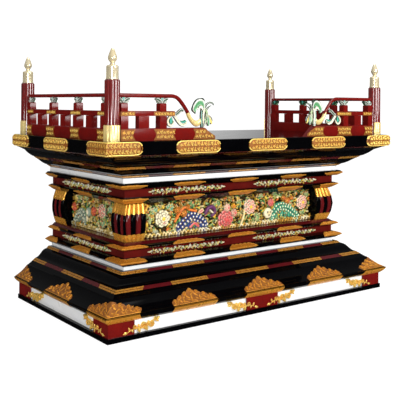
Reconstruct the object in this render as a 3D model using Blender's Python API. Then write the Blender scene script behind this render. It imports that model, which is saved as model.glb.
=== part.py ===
"""Temple altar dais: a lacquered stack of stepped mouldings round a carved drum, with a railed top slab.

Metres, +Z up. The origin is on the floor under the middle of the top slab, the front faces -Y and
the sides face -X and +X. The back is flat, because the dais is made to stand against a wall.
Every course is placed by its inset, which is how far it stands in from the slab's edge.
"""

import math

import bmesh
import bpy
from mathutils import Matrix, Vector

GAP = 0.0003

# Top slab
SLAB_WIDTH = 1.515
SLAB_DEPTH = 0.8125
SLAB_HEIGHT = 0.052
SLAB_EDGE_ROUND = 0.004
BOSS_LENGTH = 0.205
BOSS_CORNER_LEG = 0.147
BOSS_PROUD = 0.006
BOSS_HEIGHT = 0.046
BOSS_SPREAD = 0.471
BOSS_DRAFT = 0.005
BOSS_END_ROUND = 0.026
BOSS_END_FACETS = 4
BOSS_SUNK_SHARE = 1.5

# Plinth: base board, white dado with red posts, flared course
BASE_BOARD_HEIGHT = 0.0185
BASE_BOARD_INSET = 0.021
DADO_HEIGHT = 0.0515
DADO_PANEL_INSET = 0.034
DADO_POST_INSET = 0.026
DADO_CORNER_LEG = 0.110
DADO_MIDDLE_WIDTH = 0.170
FLARE_HEIGHT = 0.073
FLARE_LIP_HEIGHT = 0.026
FLARE_FOOT_INSET = 0.026
FLARE_LIP_INSET = 0.001
FLARE_HEAD_INSET = 0.065
FLARE_FILLET = 0.006
FLARE_HOLLOW = 0.004

# Courses between the flare and the drum
LOWER_FILLET_HEIGHT = 0.025
LOWER_FILLET_FOOT_INSET = 0.068
LOWER_FILLET_HEAD_INSET = 0.103
OGEE_HEIGHT = 0.036
OGEE_FOOT_INSET = 0.104
OGEE_HEAD_INSET = 0.149
OGEE_SWING = 0.003
WAIST_FILLET_HEIGHT = 0.011
WAIST_FILLET_FOOT_INSET = 0.154
WAIST_FILLET_HEAD_INSET = 0.165
LOWER_WHITE_HEIGHT = 0.0165
LOWER_WHITE_INSET = 0.180
LEDGE_1_HEIGHT = 0.0285
LEDGE_1_TIP_INSET = 0.1474
LEDGE_1_TIP_RISE = 0.0168
LEDGE_1_FOOT_INSET = 0.1705
LEDGE_1_HEAD_INSET = 0.180
LOWER_RED_HEIGHT = 0.028
LOWER_RED_INSET = 0.184
LEDGE_2_HEIGHT = 0.0195
LEDGE_2_TIP_INSET = 0.161
LEDGE_2_TIP_RISE = 0.0117
LEDGE_2_FOOT_INSET = 0.182
LEDGE_2_HEAD_INSET = 0.180
DRUM_SEAT_HEIGHT = 0.011
DRUM_SEAT_FOOT_INSET = 0.180
DRUM_SEAT_HEAD_INSET = 0.193
LEDGE_SWELL = 0.0015

# Drum: core, reeded corner pillars, carved panels
DRUM_HEIGHT = 0.1485
DRUM_CORE_INSET = 0.250
PILLAR_FOOT_INSET = 0.1967
PILLAR_BULGE_INSET = 0.1775
PILLAR_HEAD_INSET = 0.195
PILLAR_LEG = 0.105
REED_WIDTH = 0.021
REED_DEPTH = 0.006
PANEL_BACKING = 0.010
RELIEF_DEPTH = 0.030
RELIEF_CELL = 0.0148

# Courses between the drum and the slab
LEDGE_3_HEIGHT = 0.0275
LEDGE_3_TIP_INSET = 0.1613
LEDGE_3_TIP_RISE = 0.0195
LEDGE_3_FOOT_INSET = 0.190
LEDGE_3_HEAD_INSET = 0.178
UPPER_RED_HEIGHT = 0.0325
UPPER_RED_INSET = 0.183
LEDGE_4_HEIGHT = 0.024
LEDGE_4_TIP_INSET = 0.1473
LEDGE_4_TIP_RISE = 0.0135
LEDGE_4_FOOT_INSET = 0.1667
LEDGE_4_HEAD_INSET = 0.158
UPPER_WHITE_HEIGHT = 0.0197
UPPER_WHITE_INSET = 0.168
COVE_FILLET_1_HEIGHT = 0.0108
COVE_FILLET_1_FOOT_INSET = 0.170
COVE_FILLET_1_HEAD_INSET = 0.154
COVE_1_HEIGHT = 0.0195
COVE_1_FOOT_INSET = 0.1536
COVE_1_HEAD_INSET = 0.1186
COVE_FILLET_2_HEIGHT = 0.0215
COVE_FILLET_2_FOOT_INSET = 0.118
COVE_FILLET_2_HEAD_INSET = 0.088
COVE_2_HEIGHT = 0.0295
COVE_2_FOOT_INSET = 0.084
COVE_2_HEAD_INSET = 0.046
COVE_SWELL = 0.002
SLAB_FILLET_HEIGHT = 0.018
SLAB_FILLET_FOOT_INSET = 0.046
SLAB_FILLET_HEAD_INSET = 0.008

# Newel posts with their metal feet and finials
POST_SIDE_INSET = 0.0452
POST_BACK_INSET = 0.0312
POST_RADIUS = 0.0285
POST_HEIGHT = 0.2226
POST_REEDS = 10
POST_REED_DEPTH = 0.0028
POST_TOP_ROUND = 0.005
FOOT_HEIGHT = 0.058
FOOT_WALL = 0.002
FOOT_STEPS_EACH_WAY = 8
CAP_RADIUS = 0.0238
CAP_HEIGHT = 0.0516
CAP_SHOULDER = 0.007
NECK_RADIUS = 0.0082
BUD_RADIUS = 0.0170
BUD_HEIGHT = 0.0615
BUD_WIDEST = 0.026

# Railings, heights from the slab's top
SILL_HEIGHT = 0.046
SILL_WIDTH = 0.030
MIDDLE_RAIL_UNDERSIDE = 0.091
MIDDLE_RAIL_HEIGHT = 0.019
MIDDLE_RAIL_WIDTH = 0.022
STRUT_WIDTH = 0.031
HIGH_STRUT_WIDTH = 0.028
STRUT_EASE = 0.004
STRUT_TOP = 0.139
WIDE_STRUT_WIDTH = 0.045
WIDE_STRUT_DEPTH = 0.025
HANDRAIL_RADIUS = 0.0075
HANDRAIL_AXIS = 0.1665
BRACKET_SPAN = 0.050
BRACKET_DEPTH = 0.016
SIDE_STRUTS = 4
RETURN_STRUT = 0.2124
RETURN_MIDDLE_END = 0.267
RETURN_SILL_END = 0.458
RETURN_SILL_SLOPE = 0.052
RETURN_SWEEP_START = 0.262
RETURN_SWEEP_END = 0.391
LEAF_START = 0.354
LEAF_WIDTH = 0.106
LEAF_THICKNESS = 0.014
SCROLL_WIDTH = 0.084
SCROLL_HEIGHT = 0.074

COLOURS = {
    "black_lacquer": ((0.006, 0.006, 0.007), 0.08, 0.0),
    "red_lacquer": ((0.24, 0.012, 0.008), 0.12, 0.0),
    "white_lacquer": ((0.86, 0.86, 0.85), 0.25, 0.0),
    "gilt_fillet": ((0.62, 0.30, 0.06), 0.30, 0.6),
    "gold_metal": ((0.85, 0.55, 0.15), 0.25, 1.0),
    "painted_carving": ((0.45, 0.36, 0.12), 0.50, 0.2),
    "green_carving": ((0.16, 0.38, 0.20), 0.45, 0.0),
}


def finish(name):
    """A Principled material by name, made once."""
    if name in bpy.data.materials:
        return bpy.data.materials[name]
    colour, roughness, metallic = COLOURS[name]
    made = bpy.data.materials.new(name)
    made.use_nodes = True
    shader = made.node_tree.nodes["Principled BSDF"]
    shader.inputs["Base Color"].default_value = (*colour, 1.0)
    shader.inputs["Roughness"].default_value = roughness
    shader.inputs["Metallic"].default_value = metallic
    return made


def piece(name, bm, material, place=None):
    """An object made from a bmesh, which is freed."""
    bmesh.ops.recalc_face_normals(bm, faces=bm.faces)
    mesh = bpy.data.meshes.new(name)
    bm.to_mesh(mesh)
    bm.free()
    mesh.materials.append(finish(material))
    made = bpy.data.objects.new(name, mesh)
    if place is not None:
        made.matrix_world = place
    bpy.context.collection.objects.link(made)
    return made


def shade_round(made):
    """Smooth shading that keeps the sharp edges."""
    made.data.shade_smooth()
    made.data.set_sharp_from_angle(angle=math.radians(35))


def joined(made, *others):
    """Joins closed shapes to a piece with Boolean unions and hides the shapes."""
    for other in others:
        other.hide_render = True
        other.display_type = "WIRE"
        union = made.modifiers.new("Join " + other.name, "BOOLEAN")
        union.operation = "UNION"
        union.solver = "EXACT"
        union.object = other
    return made


def loft(rings):
    """A closed skin over rings of points, capped at both ends."""
    bm = bmesh.new()
    rows = [[bm.verts.new(point) for point in ring] for ring in rings]
    for low, high in zip(rows, rows[1:]):
        count = len(low)
        for i in range(count):
            j = (i + 1) % count
            bm.faces.new((low[i], low[j], high[j], high[i]))
    bm.faces.new(reversed(rows[0]))
    bm.faces.new(rows[-1])
    return bm


def extruded(outline, thickness):
    """A flat outline of (across, up) points made solid, centred on Y = 0."""
    half = thickness / 2
    return loft([[Vector((x, y, z)) for x, z in outline] for y in (-half, half)])


def box(low, high, chamfer=0.0):
    """A box between two corners, its long edges eased by a chamfer along its longest side."""
    low, high = Vector(low), Vector(high)
    size = high - low
    along = max(range(3), key=lambda axis: size[axis])
    a, b = [axis for axis in range(3) if axis != along]
    cuts = [(0, chamfer), (chamfer, 0)] if chamfer else [(0, 0)]
    corners = []
    for sign_a, sign_b in ((-1, -1), (1, -1), (1, 1), (-1, 1)):
        turn = cuts if sign_a * sign_b > 0 else cuts[::-1]
        corners += [(sign_a * (size[a] / 2 - ca), sign_b * (size[b] / 2 - cb)) for ca, cb in turn]
    rings = []
    for end in (-size[along] / 2, size[along] / 2):
        ring = []
        for u, v in corners:
            point = Vector((0, 0, 0))
            point[a], point[b], point[along] = u, v, end
            ring.append(point + (low + high) / 2)
        rings.append(ring)
    return loft(rings)


def bowed(start, end, bow, steps=3):
    """Points from start to end on a shallow arc that stands out by bow at its middle."""
    run, rise = end[0] - start[0], end[1] - start[1]
    length = math.hypot(run, rise)
    points = []
    for i in range(steps + 1):
        t = i / steps
        out = bow * 4 * t * (1 - t)
        points.append((start[0] + run * t - out * rise / length, start[1] + rise * t + out * run / length))
    return points


def course_ring(inset, z):
    """The rectangle of a course at one height: inset at the front and sides, flush at the back."""
    x = SLAB_WIDTH / 2 - inset
    front, back = -SLAB_DEPTH / 2 + inset, SLAB_DEPTH / 2
    return [Vector((-x, front, z)), Vector((x, front, z)), Vector((x, back, z)), Vector((-x, back, z))]


class Stack:
    """The courses, laid one on the other from the floor up."""

    def __init__(self):
        self.top = 0.0
        self.low = {}

    def course(self, name, height, profile, material):
        """A course whose profile is (inset, rise) points. A hair of its height is left clear above it."""
        self.reserve(name, height)
        base = self.low[name]
        tall = profile[-1][1]
        rings = [course_ring(inset, base + rise * (height - GAP) / tall) for inset, rise in profile]
        return piece(name, loft(rings), material)

    def reserve(self, name, height):
        """Keeps a height for pieces that are made apart."""
        self.low[name] = self.top
        self.top += height


def upright(inset, height):
    return [(inset, 0.0), (inset, height)]


def ledge(foot, tip, head, height, tip_rise):
    """A ledge with a sharp edge: its underside slopes out to the tip and its back swells in again."""
    lower = bowed((foot, 0.0), (tip, tip_rise), 0.0, 1)
    upper = bowed((tip, tip_rise), (head, height), LEDGE_SWELL, 3)
    return lower + upper[1:]


def flare_profile():
    """The lip's rounded underside, a small fillet, and the long hollow that climbs to the stack."""
    lip = bowed((FLARE_FOOT_INSET, 0.0), (FLARE_LIP_INSET, FLARE_LIP_HEIGHT), 0.0024, 3)
    start = (FLARE_LIP_INSET + FLARE_FILLET, FLARE_LIP_HEIGHT + 0.0015)
    hollow = bowed(start, (FLARE_HEAD_INSET, FLARE_HEIGHT), -FLARE_HOLLOW, 5)
    return lip + hollow


def ogee_profile():
    """Hollow below and full above."""
    points = []
    steps = 6
    for i in range(steps + 1):
        t = i / steps
        inset = OGEE_FOOT_INSET + (OGEE_HEAD_INSET - OGEE_FOOT_INSET) * t
        points.append((inset, OGEE_HEIGHT * t - OGEE_SWING * math.sin(2 * math.pi * t)))
    return points


def slab_profile():
    """The slab's edge with both arrises rounded."""
    r = SLAB_EDGE_ROUND
    low = [(r * (1 - math.sin(a)), r * (1 - math.cos(a))) for a in (0, math.pi / 4, math.pi / 2)]
    return low + [(inset, SLAB_HEIGHT - rise) for inset, rise in reversed(low)]


def lay_plinth(stack):
    stack.course("base_board", BASE_BOARD_HEIGHT, upright(BASE_BOARD_INSET, 1), "black_lacquer")
    stack.course("dado_panels", DADO_HEIGHT, upright(DADO_PANEL_INSET, 1), "white_lacquer")
    dado_posts(stack.low["dado_panels"])
    stack.course("flared_course", FLARE_HEIGHT, flare_profile(), "black_lacquer")
    slope = [(LOWER_FILLET_FOOT_INSET, 0), (LOWER_FILLET_HEAD_INSET, 1)]
    stack.course("lower_fillet", LOWER_FILLET_HEIGHT, slope, "gilt_fillet")
    stack.course("ogee_course", OGEE_HEIGHT, ogee_profile(), "black_lacquer")
    slope = [(WAIST_FILLET_FOOT_INSET, 0), (WAIST_FILLET_HEAD_INSET, 1)]
    stack.course("waist_fillet", WAIST_FILLET_HEIGHT, slope, "gilt_fillet")
    stack.course("lower_white_band", LOWER_WHITE_HEIGHT, upright(LOWER_WHITE_INSET, 1), "white_lacquer")


def dado_posts(low):
    """Red boards on the dado: an angle at each front corner, one at mid front, one at each back end."""
    high = low + DADO_HEIGHT - GAP
    x_out, y_out = SLAB_WIDTH / 2 - DADO_POST_INSET, -SLAB_DEPTH / 2 + DADO_POST_INSET
    x_in, y_in = SLAB_WIDTH / 2 - DADO_PANEL_INSET + GAP, -SLAB_DEPTH / 2 + DADO_PANEL_INSET - GAP
    leg = DADO_CORNER_LEG
    back = SLAB_DEPTH / 2
    for side, sign in (("left", -1), ("right", 1)):
        plan = [(x_out, y_out), (x_out, y_out + leg), (x_in, y_out + leg), (x_in, y_in),
                (x_out - leg, y_in), (x_out - leg, y_out)]
        rings = [[Vector((sign * x, y, z)) for x, y in plan] for z in (low, high)]
        piece(f"dado_post_front_{side}", loft(rings), "red_lacquer")
        ends = sorted((sign * x_out, sign * x_in))
        board = box((ends[0], back - leg, low), (ends[1], back, high))
        piece(f"dado_post_back_{side}", board, "red_lacquer")
    half = DADO_MIDDLE_WIDTH / 2
    piece("dado_post_front_middle", box((-half, y_out, low), (half, y_in, high)), "red_lacquer")


def lay_ledges_below(stack):
    profile = ledge(LEDGE_1_FOOT_INSET, LEDGE_1_TIP_INSET, LEDGE_1_HEAD_INSET,
                    LEDGE_1_HEIGHT, LEDGE_1_TIP_RISE)
    stack.course("ledge_1", LEDGE_1_HEIGHT, profile, "black_lacquer")
    stack.course("lower_red_band", LOWER_RED_HEIGHT, upright(LOWER_RED_INSET, 1), "red_lacquer")
    profile = ledge(LEDGE_2_FOOT_INSET, LEDGE_2_TIP_INSET, LEDGE_2_HEAD_INSET,
                    LEDGE_2_HEIGHT, LEDGE_2_TIP_RISE)
    stack.course("ledge_2", LEDGE_2_HEIGHT, profile, "black_lacquer")
    slope = [(DRUM_SEAT_FOOT_INSET, 0), (DRUM_SEAT_HEAD_INSET, 1)]
    stack.course("drum_seat", DRUM_SEAT_HEIGHT, slope, "red_lacquer")


def lay_ledges_above(stack):
    profile = ledge(LEDGE_3_FOOT_INSET, LEDGE_3_TIP_INSET, LEDGE_3_HEAD_INSET,
                    LEDGE_3_HEIGHT, LEDGE_3_TIP_RISE)
    stack.course("ledge_3", LEDGE_3_HEIGHT, profile, "black_lacquer")
    stack.course("upper_red_band", UPPER_RED_HEIGHT, upright(UPPER_RED_INSET, 1), "red_lacquer")
    profile = ledge(LEDGE_4_FOOT_INSET, LEDGE_4_TIP_INSET, LEDGE_4_HEAD_INSET,
                    LEDGE_4_HEIGHT, LEDGE_4_TIP_RISE)
    stack.course("ledge_4", LEDGE_4_HEIGHT, profile, "black_lacquer")
    stack.course("upper_white_band", UPPER_WHITE_HEIGHT, upright(UPPER_WHITE_INSET, 1), "white_lacquer")


def lay_coves(stack):
    """The courses that step out under the slab."""
    slope = [(COVE_FILLET_1_FOOT_INSET, 0), (COVE_FILLET_1_HEAD_INSET, 1)]
    stack.course("cove_fillet_1", COVE_FILLET_1_HEIGHT, slope, "gilt_fillet")
    profile = bowed((COVE_1_FOOT_INSET, 0), (COVE_1_HEAD_INSET, COVE_1_HEIGHT), COVE_SWELL)
    stack.course("cove_1", COVE_1_HEIGHT, profile, "black_lacquer")
    slope = [(COVE_FILLET_2_FOOT_INSET, 0), (COVE_FILLET_2_HEAD_INSET, 1)]
    stack.course("cove_fillet_2", COVE_FILLET_2_HEIGHT, slope, "gilt_fillet")
    profile = bowed((COVE_2_FOOT_INSET, 0), (COVE_2_HEAD_INSET, COVE_2_HEIGHT), COVE_SWELL)
    stack.course("cove_2", COVE_2_HEIGHT, profile, "black_lacquer")
    slope = [(SLAB_FILLET_FOOT_INSET, 0), (SLAB_FILLET_HEAD_INSET, 1)]
    stack.course("slab_fillet", SLAB_FILLET_HEIGHT, slope, "gilt_fillet")


def lay_slab(stack):
    """The slab, with the swelling beds of its gilt edge fittings, which wrap its corners."""
    slab = stack.course("top_slab", SLAB_HEIGHT, slab_profile(), "black_lacquer")
    middle = stack.low["top_slab"] + SLAB_HEIGHT / 2
    x_edge, y_edge = SLAB_WIDTH / 2, SLAB_DEPTH / 2
    places = [(along * x_edge, -y_edge, 0) for along in (-BOSS_SPREAD, 0, BOSS_SPREAD)]
    places += [(sign * x_edge, 0.0, sign) for sign in (-1, 1)]
    beds = []
    for x, y, quarters in places:
        place = Matrix.Translation((x, y, middle)) @ Matrix.Rotation(quarters * math.pi / 2, 4, "Z")
        beds.append(piece(f"fitting_bed_{len(beds)}", boss(), "gold_metal", place))
    for x_sign in (-1, 1):
        for y_sign in (-1, 1):
            bed = corner_boss(x_sign, y_sign, middle)
            beds.append(piece(f"fitting_bed_{len(beds)}", bed, "gold_metal"))
    return joined(slab, *beds)


def boss_levels():
    """(depth inside the slab's edge, shrink of the outline) at a bed's foot and at its face."""
    return (SLAB_EDGE_ROUND * BOSS_SUNK_SHARE, 0.0), (-BOSS_PROUD, BOSS_DRAFT)


def boss_end(reach, shrink):
    """(along, up) points of a bed's rounded end, from its upper arris down to the lower one."""
    tall = BOSS_HEIGHT / 2 - shrink
    straight = reach - shrink - BOSS_END_ROUND
    angles = [math.pi * i / BOSS_END_FACETS for i in range(BOSS_END_FACETS + 1)]
    return [(straight + BOSS_END_ROUND * math.sin(a), tall * math.cos(a)) for a in angles]


def boss():
    """A long bed with rounded ends that stands a little proud of the slab's edge."""
    rings = []
    for depth, shrink in boss_levels():
        end = boss_end(BOSS_LENGTH / 2, shrink)
        ring = [Vector((-x, depth, -z)) for x, z in end] + [Vector((x, depth, -z)) for x, z in reversed(end)]
        rings.append(ring)
    return loft(rings)


def corner_boss(x_sign, y_sign, middle):
    """The bed that wraps a corner of the slab, one leg along each edge."""
    bm = bmesh.new()
    levels = []
    for depth, shrink in boss_levels():
        x_face, y_face = SLAB_WIDTH / 2 - depth, SLAB_DEPTH / 2 - depth
        tall = BOSS_HEIGHT / 2 - shrink
        end = boss_end(BOSS_CORNER_LEG, shrink)
        first = [(SLAB_WIDTH / 2 - along, y_face, up) for along, up in end]
        second = [(x_face, SLAB_DEPTH / 2 - along, up) for along, up in reversed(end)]
        ring = first + [(x_face, y_face, -tall)] + second + [(x_face, y_face, tall)]
        levels.append([bm.verts.new((x_sign * x, y_sign * y, middle + z)) for x, y, z in ring])
    lower_corner = BOSS_END_FACETS + 1
    for level in levels:
        bm.faces.new(level[:lower_corner + 1] + level[-1:])
        bm.faces.new(level[lower_corner:])
    inner, outer = levels
    for i in range(len(inner)):
        j = (i + 1) % len(inner)
        bm.faces.new((inner[i], inner[j], outer[j], outer[i]))
    return bm


def build_drum(stack):
    stack.reserve("drum", DRUM_HEIGHT)
    low = stack.low["drum"]
    high = low + DRUM_HEIGHT - GAP
    rings = [course_ring(DRUM_CORE_INSET, z) for z in (low, high)]
    piece("drum_core", loft(rings), "black_lacquer")
    for sign, side in ((-1, "left"), (1, "right")):
        shade_round(piece(f"pillar_front_{side}", front_pillar(sign, low, high), "black_lacquer"))
        shade_round(piece(f"pillar_back_{side}", back_pillar(sign, low, high), "black_lacquer"))
    carved_panels(low, high)


def barrel_insets(low, high):
    """(inset, height) pairs of the pillars' barrel, foot to head."""
    steps = 4
    for i in range(steps + 1):
        t = i / steps
        ends = PILLAR_FOOT_INSET + (PILLAR_HEAD_INSET - PILLAR_FOOT_INSET) * t
        swell = math.sin(math.pi * t)
        yield ends + (PILLAR_BULGE_INSET - ends) * swell, low + (high - low) * t


def reeded(start, end, count, outward):
    """Points along a straight run of rounded reeds, from start up to the last reed's far valley."""
    points = []
    for i in range(count * 4):
        t = (i % 4) / 4
        out = REED_DEPTH * math.sqrt(1 - (2 * t - 1) ** 2)
        points.append(start + (end - start) * (i / (count * 4)) + outward * (out - REED_DEPTH))
    return points


def front_pillar(sign, low, high):
    """Reeds along each leg and one round the corner, on an L-shaped plan."""
    x_core, y_core = SLAB_WIDTH / 2 - DRUM_CORE_INSET + GAP, -SLAB_DEPTH / 2 + DRUM_CORE_INSET - GAP
    leg_reeds = round((PILLAR_LEG - REED_WIDTH) / REED_WIDTH)
    x_cheek = SLAB_WIDTH / 2 - PILLAR_BULGE_INSET - PILLAR_LEG
    y_cheek = -SLAB_DEPTH / 2 + PILLAR_BULGE_INSET + PILLAR_LEG
    rings = []
    turn = REED_WIDTH / 2
    shoulder, nose = turn * 0.7, turn * 0.15
    for inset, z in barrel_insets(low, high):
        x, y = SLAB_WIDTH / 2 - inset, -SLAB_DEPTH / 2 + inset
        front = reeded(Vector((x_cheek, y)), Vector((x - turn, y)), leg_reeds, Vector((0, -1)))
        corner = [Vector((x - turn, y + REED_DEPTH)), Vector((x - shoulder, y)), Vector((x - nose, y + nose)),
                  Vector((x, y + shoulder))]
        side = reeded(Vector((x, y + turn)), Vector((x, y_cheek)), leg_reeds, Vector((1, 0)))
        ends = [Vector((x - REED_DEPTH, y_cheek)), Vector((x_core, y_cheek)), Vector((x_core, y_core)),
                Vector((x_cheek, y_core))]
        rings.append([Vector((sign * p.x, p.y, z)) for p in front + corner + side + ends])
    return loft(rings)


def back_pillar(sign, low, high):
    """A straight run of reeds that stops at the flat back."""
    x_core = SLAB_WIDTH / 2 - DRUM_CORE_INSET + GAP
    back = SLAB_DEPTH / 2
    reeds = round(PILLAR_LEG / REED_WIDTH)
    rings = []
    for inset, z in barrel_insets(low, high):
        x = SLAB_WIDTH / 2 - inset
        side = reeded(Vector((x, back - PILLAR_LEG)), Vector((x, back)), reeds, Vector((1, 0)))
        ends = [Vector((x - REED_DEPTH, back)), Vector((x_core, back)), Vector((x_core, back - PILLAR_LEG))]
        rings.append([Vector((sign * p.x, p.y, z)) for p in side + ends])
    return loft(rings)


# Carving of the panels, as shares: (along, up, half width, half height, depth), where along and the
# half width are shares of the panel's half length and the others shares of its height and depth.
FRONT_MOTIFS = (
    ("peony", -0.80, 0.50, 0.085, 0.29, 0.95),
    ("lion", -0.45, 0.30, 0.140, 0.24, 1.00),
    ("ball", -0.27, 0.58, 0.070, 0.23, 1.00),
    ("peony", -0.57, 0.72, 0.085, 0.20, 0.70),
    ("peony", -0.09, 0.30, 0.095, 0.28, 0.85),
    ("peony", -0.07, 0.76, 0.060, 0.19, 0.75),
    ("peony", 0.21, 0.62, 0.090, 0.28, 0.95),
    ("ball", 0.44, 0.34, 0.070, 0.24, 1.00),
    ("lion", 0.62, 0.42, 0.150, 0.24, 0.95),
    ("peony", 0.48, 0.70, 0.060, 0.20, 0.70),
    ("peony", 0.70, 0.72, 0.065, 0.20, 0.75),
    ("peony", 0.91, 0.60, 0.075, 0.28, 0.95),
)
SIDE_MOTIFS = (
    ("lion", 0.42, 0.42, 0.300, 0.28, 0.95),
    ("ball", 0.05, 0.55, 0.170, 0.25, 1.00),
    ("peony", -0.42, 0.60, 0.210, 0.29, 0.95),
    ("peony", 0.72, 0.72, 0.160, 0.20, 0.75),
    ("peony", -0.75, 0.30, 0.150, 0.20, 0.70),
)


def carved_height(motifs, along, up):
    """Depth share of the carving at a place on a panel: leaves all over, rocks below, figures on top."""
    leaves = 0.30 + 0.13 * math.sin(along * 23) * math.sin(up * 9 + along * 5)
    rocks = 0.55 * max(0.0, 1 - up / 0.22)
    tallest = max(leaves, rocks)
    for kind, centre, rise, half, tall, depth in motifs:
        u, v = (along - centre) / half, (up - rise) / tall
        if kind == "lion":
            v += 0.45 * u * u
        reach = math.hypot(u, v)
        if reach < 1:
            dome = depth * math.sqrt(1 - reach * reach)
            if kind == "peony":
                dome *= 0.88 + 0.12 * math.cos(5 * math.atan2(v, u))
            tallest = max(tallest, dome)
    return min(tallest, 1.0)


def relief_panel(length, height, motifs):
    """A carved board, its back on Y = 0 and its face towards -Y, centred across and standing on Z = 0."""
    columns, rows = round(length / RELIEF_CELL), round(height / RELIEF_CELL)
    bm = bmesh.new()
    grid = []
    for j in range(rows + 1):
        row = []
        for i in range(columns + 1):
            along, up = 2 * i / columns - 1, j / rows
            edge = i in (0, columns) or j in (0, rows)
            out = PANEL_BACKING + (0 if edge else RELIEF_DEPTH * carved_height(motifs, along, up))
            row.append(bm.verts.new((along * length / 2, -out, up * height)))
        grid.append(row)
    for low, high in zip(grid, grid[1:]):
        for i in range(columns):
            bm.faces.new((low[i], low[i + 1], high[i + 1], high[i]))
    rim = grid[0] + [row[-1] for row in grid[1:-1]] + grid[-1][::-1] + [row[0] for row in grid[-2:0:-1]]
    back = [bm.verts.new((vert.co.x, 0, vert.co.z)) for vert in rim]
    for i in range(len(rim)):
        j = (i + 1) % len(rim)
        bm.faces.new((rim[j], rim[i], back[i], back[j]))
    bm.faces.new(back)
    return bm


def carved_panels(low, high):
    """The front panel between the front pillars and one on each side between front and back pillars."""
    x_cheek = SLAB_WIDTH / 2 - PILLAR_BULGE_INSET - PILLAR_LEG
    y_front = -SLAB_DEPTH / 2 + PILLAR_BULGE_INSET + PILLAR_LEG
    y_back = SLAB_DEPTH / 2 - PILLAR_LEG
    height = high - low
    board = relief_panel(2 * (x_cheek - GAP), height, FRONT_MOTIFS)
    place = Matrix.Translation((0, -SLAB_DEPTH / 2 + DRUM_CORE_INSET - GAP, low))
    shade_round(piece("carved_panel_front", board, "painted_carving", place))
    for sign, side in ((-1, "left"), (1, "right")):
        board = relief_panel(y_back - y_front - 2 * GAP, height, SIDE_MOTIFS)
        x = sign * (SLAB_WIDTH / 2 - DRUM_CORE_INSET + GAP)
        turn = Matrix.Rotation(sign * math.pi / 2, 4, "Z")
        place = Matrix.Translation((x, (y_front + y_back) / 2, low)) @ turn
        shade_round(piece(f"carved_panel_{side}", board, "painted_carving", place))


def reeded_point(radius, z, i):
    """Point i of a reeded shaft's outline, three points a reed, the first in the valley."""
    r = radius - (POST_REED_DEPTH if i % 3 == 0 else 0)
    a = 2 * math.pi * i / (POST_REEDS * 3)
    return Vector((r * math.cos(a), r * math.sin(a), z))


def reeded_circle(radius, z):
    """A round shaft's outline with a bead for each reed."""
    return [reeded_point(radius, z, i) for i in range(POST_REEDS * 3)]


def foot_sleeve(place, floor):
    """The sheet metal round a post's foot, on its outer side only, clear of the railings."""
    inside, outside = POST_RADIUS + GAP, POST_RADIUS + GAP + FOOT_WALL
    outward = math.atan2(math.copysign(1, place.y), math.copysign(1, place.x))
    facing = round(outward / math.tau * POST_REEDS * 3)
    low, high = floor, floor + FOOT_HEIGHT
    rings = []
    for i in range(facing - FOOT_STEPS_EACH_WAY, facing + FOOT_STEPS_EACH_WAY + 1):
        rings.append([reeded_point(radius, z, i) for radius, z in
                      ((inside, low), (outside, low), (outside, high), (inside, high))])
    return loft(rings)


def circle(radius, z, sides=10):
    turns = [2 * math.pi * i / sides for i in range(sides)]
    return [Vector((radius * math.cos(a), radius * math.sin(a), z)) for a in turns]


def bud_profile():
    """(radius, height) points of the finial: capped shoulder, neck, and a bud drawn to a small tip."""
    points = [(CAP_RADIUS, 0.0), (CAP_RADIUS, CAP_HEIGHT - CAP_SHOULDER)]
    points.append((CAP_RADIUS - CAP_SHOULDER * 0.3, CAP_HEIGHT - CAP_SHOULDER * 0.3))
    points.append((NECK_RADIUS * 1.35, CAP_HEIGHT))
    points.append((NECK_RADIUS, CAP_HEIGHT + BUD_WIDEST * 0.28))
    for turn in (25, 55, 90):
        a = math.radians(turn)
        rise = CAP_HEIGHT + BUD_WIDEST * (0.40 + 0.60 * (1 - math.cos(a)))
        points.append((NECK_RADIUS + (BUD_RADIUS - NECK_RADIUS) * math.sin(a), rise))
    crown = BUD_HEIGHT - BUD_WIDEST
    points.append((BUD_RADIUS * 0.72, CAP_HEIGHT + BUD_WIDEST + crown * 0.38))
    points.append((BUD_RADIUS * 0.16, CAP_HEIGHT + BUD_HEIGHT))
    return points


def post_places():
    """Name and plan position of each newel post."""
    x = SLAB_WIDTH / 2 - POST_SIDE_INSET
    front, back = -SLAB_DEPTH / 2 + POST_SIDE_INSET, SLAB_DEPTH / 2 - POST_BACK_INSET
    for sign, side in ((-1, "left"), (1, "right")):
        yield f"front_{side}", Vector((sign * x, front, 0))
        yield f"back_{side}", Vector((sign * x, back, 0))


def stand_posts(floor):
    """Shaft, metal foot sleeve and turned finial at each corner of the slab."""
    top = floor + POST_HEIGHT
    for name, place in post_places():
        move = Matrix.Translation(place)
        rings = [reeded_circle(POST_RADIUS, floor), reeded_circle(POST_RADIUS, top - POST_TOP_ROUND),
                 reeded_circle(POST_RADIUS - POST_TOP_ROUND, top)]
        shade_round(piece(f"post_{name}", loft(rings), "red_lacquer", move))
        shade_round(piece(f"post_foot_{name}", foot_sleeve(place, floor), "gold_metal", move))
        rings = [circle(radius, top + GAP + rise) for radius, rise in bud_profile()]
        shade_round(piece(f"finial_{name}", loft(rings), "gold_metal", move))


def bracket(centre, floor, rooms):
    """A small carved bracket that opens from a strut's head to the handrail, as far as a post leaves room."""
    low, high = floor + STRUT_TOP - HIGH_STRUT_WIDTH * 0.2, floor + HANDRAIL_AXIS - HANDRAIL_RADIUS - GAP
    foot, middle = HIGH_STRUT_WIDTH * 0.28, (low + high) / 2
    halves = []
    for room in rooms:
        wide = min(BRACKET_SPAN / 2, room)
        shoulder = max(foot * 1.2, wide * 0.72)
        halves.append([(foot, low), (foot, middle), (shoulder, middle + (high - low) * 0.1), (wide, high)])
    outline = [(centre + x, z) for x, z in halves[1]] + [(centre - x, z) for x, z in reversed(halves[0])]
    return extruded(outline, BRACKET_DEPTH)


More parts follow.
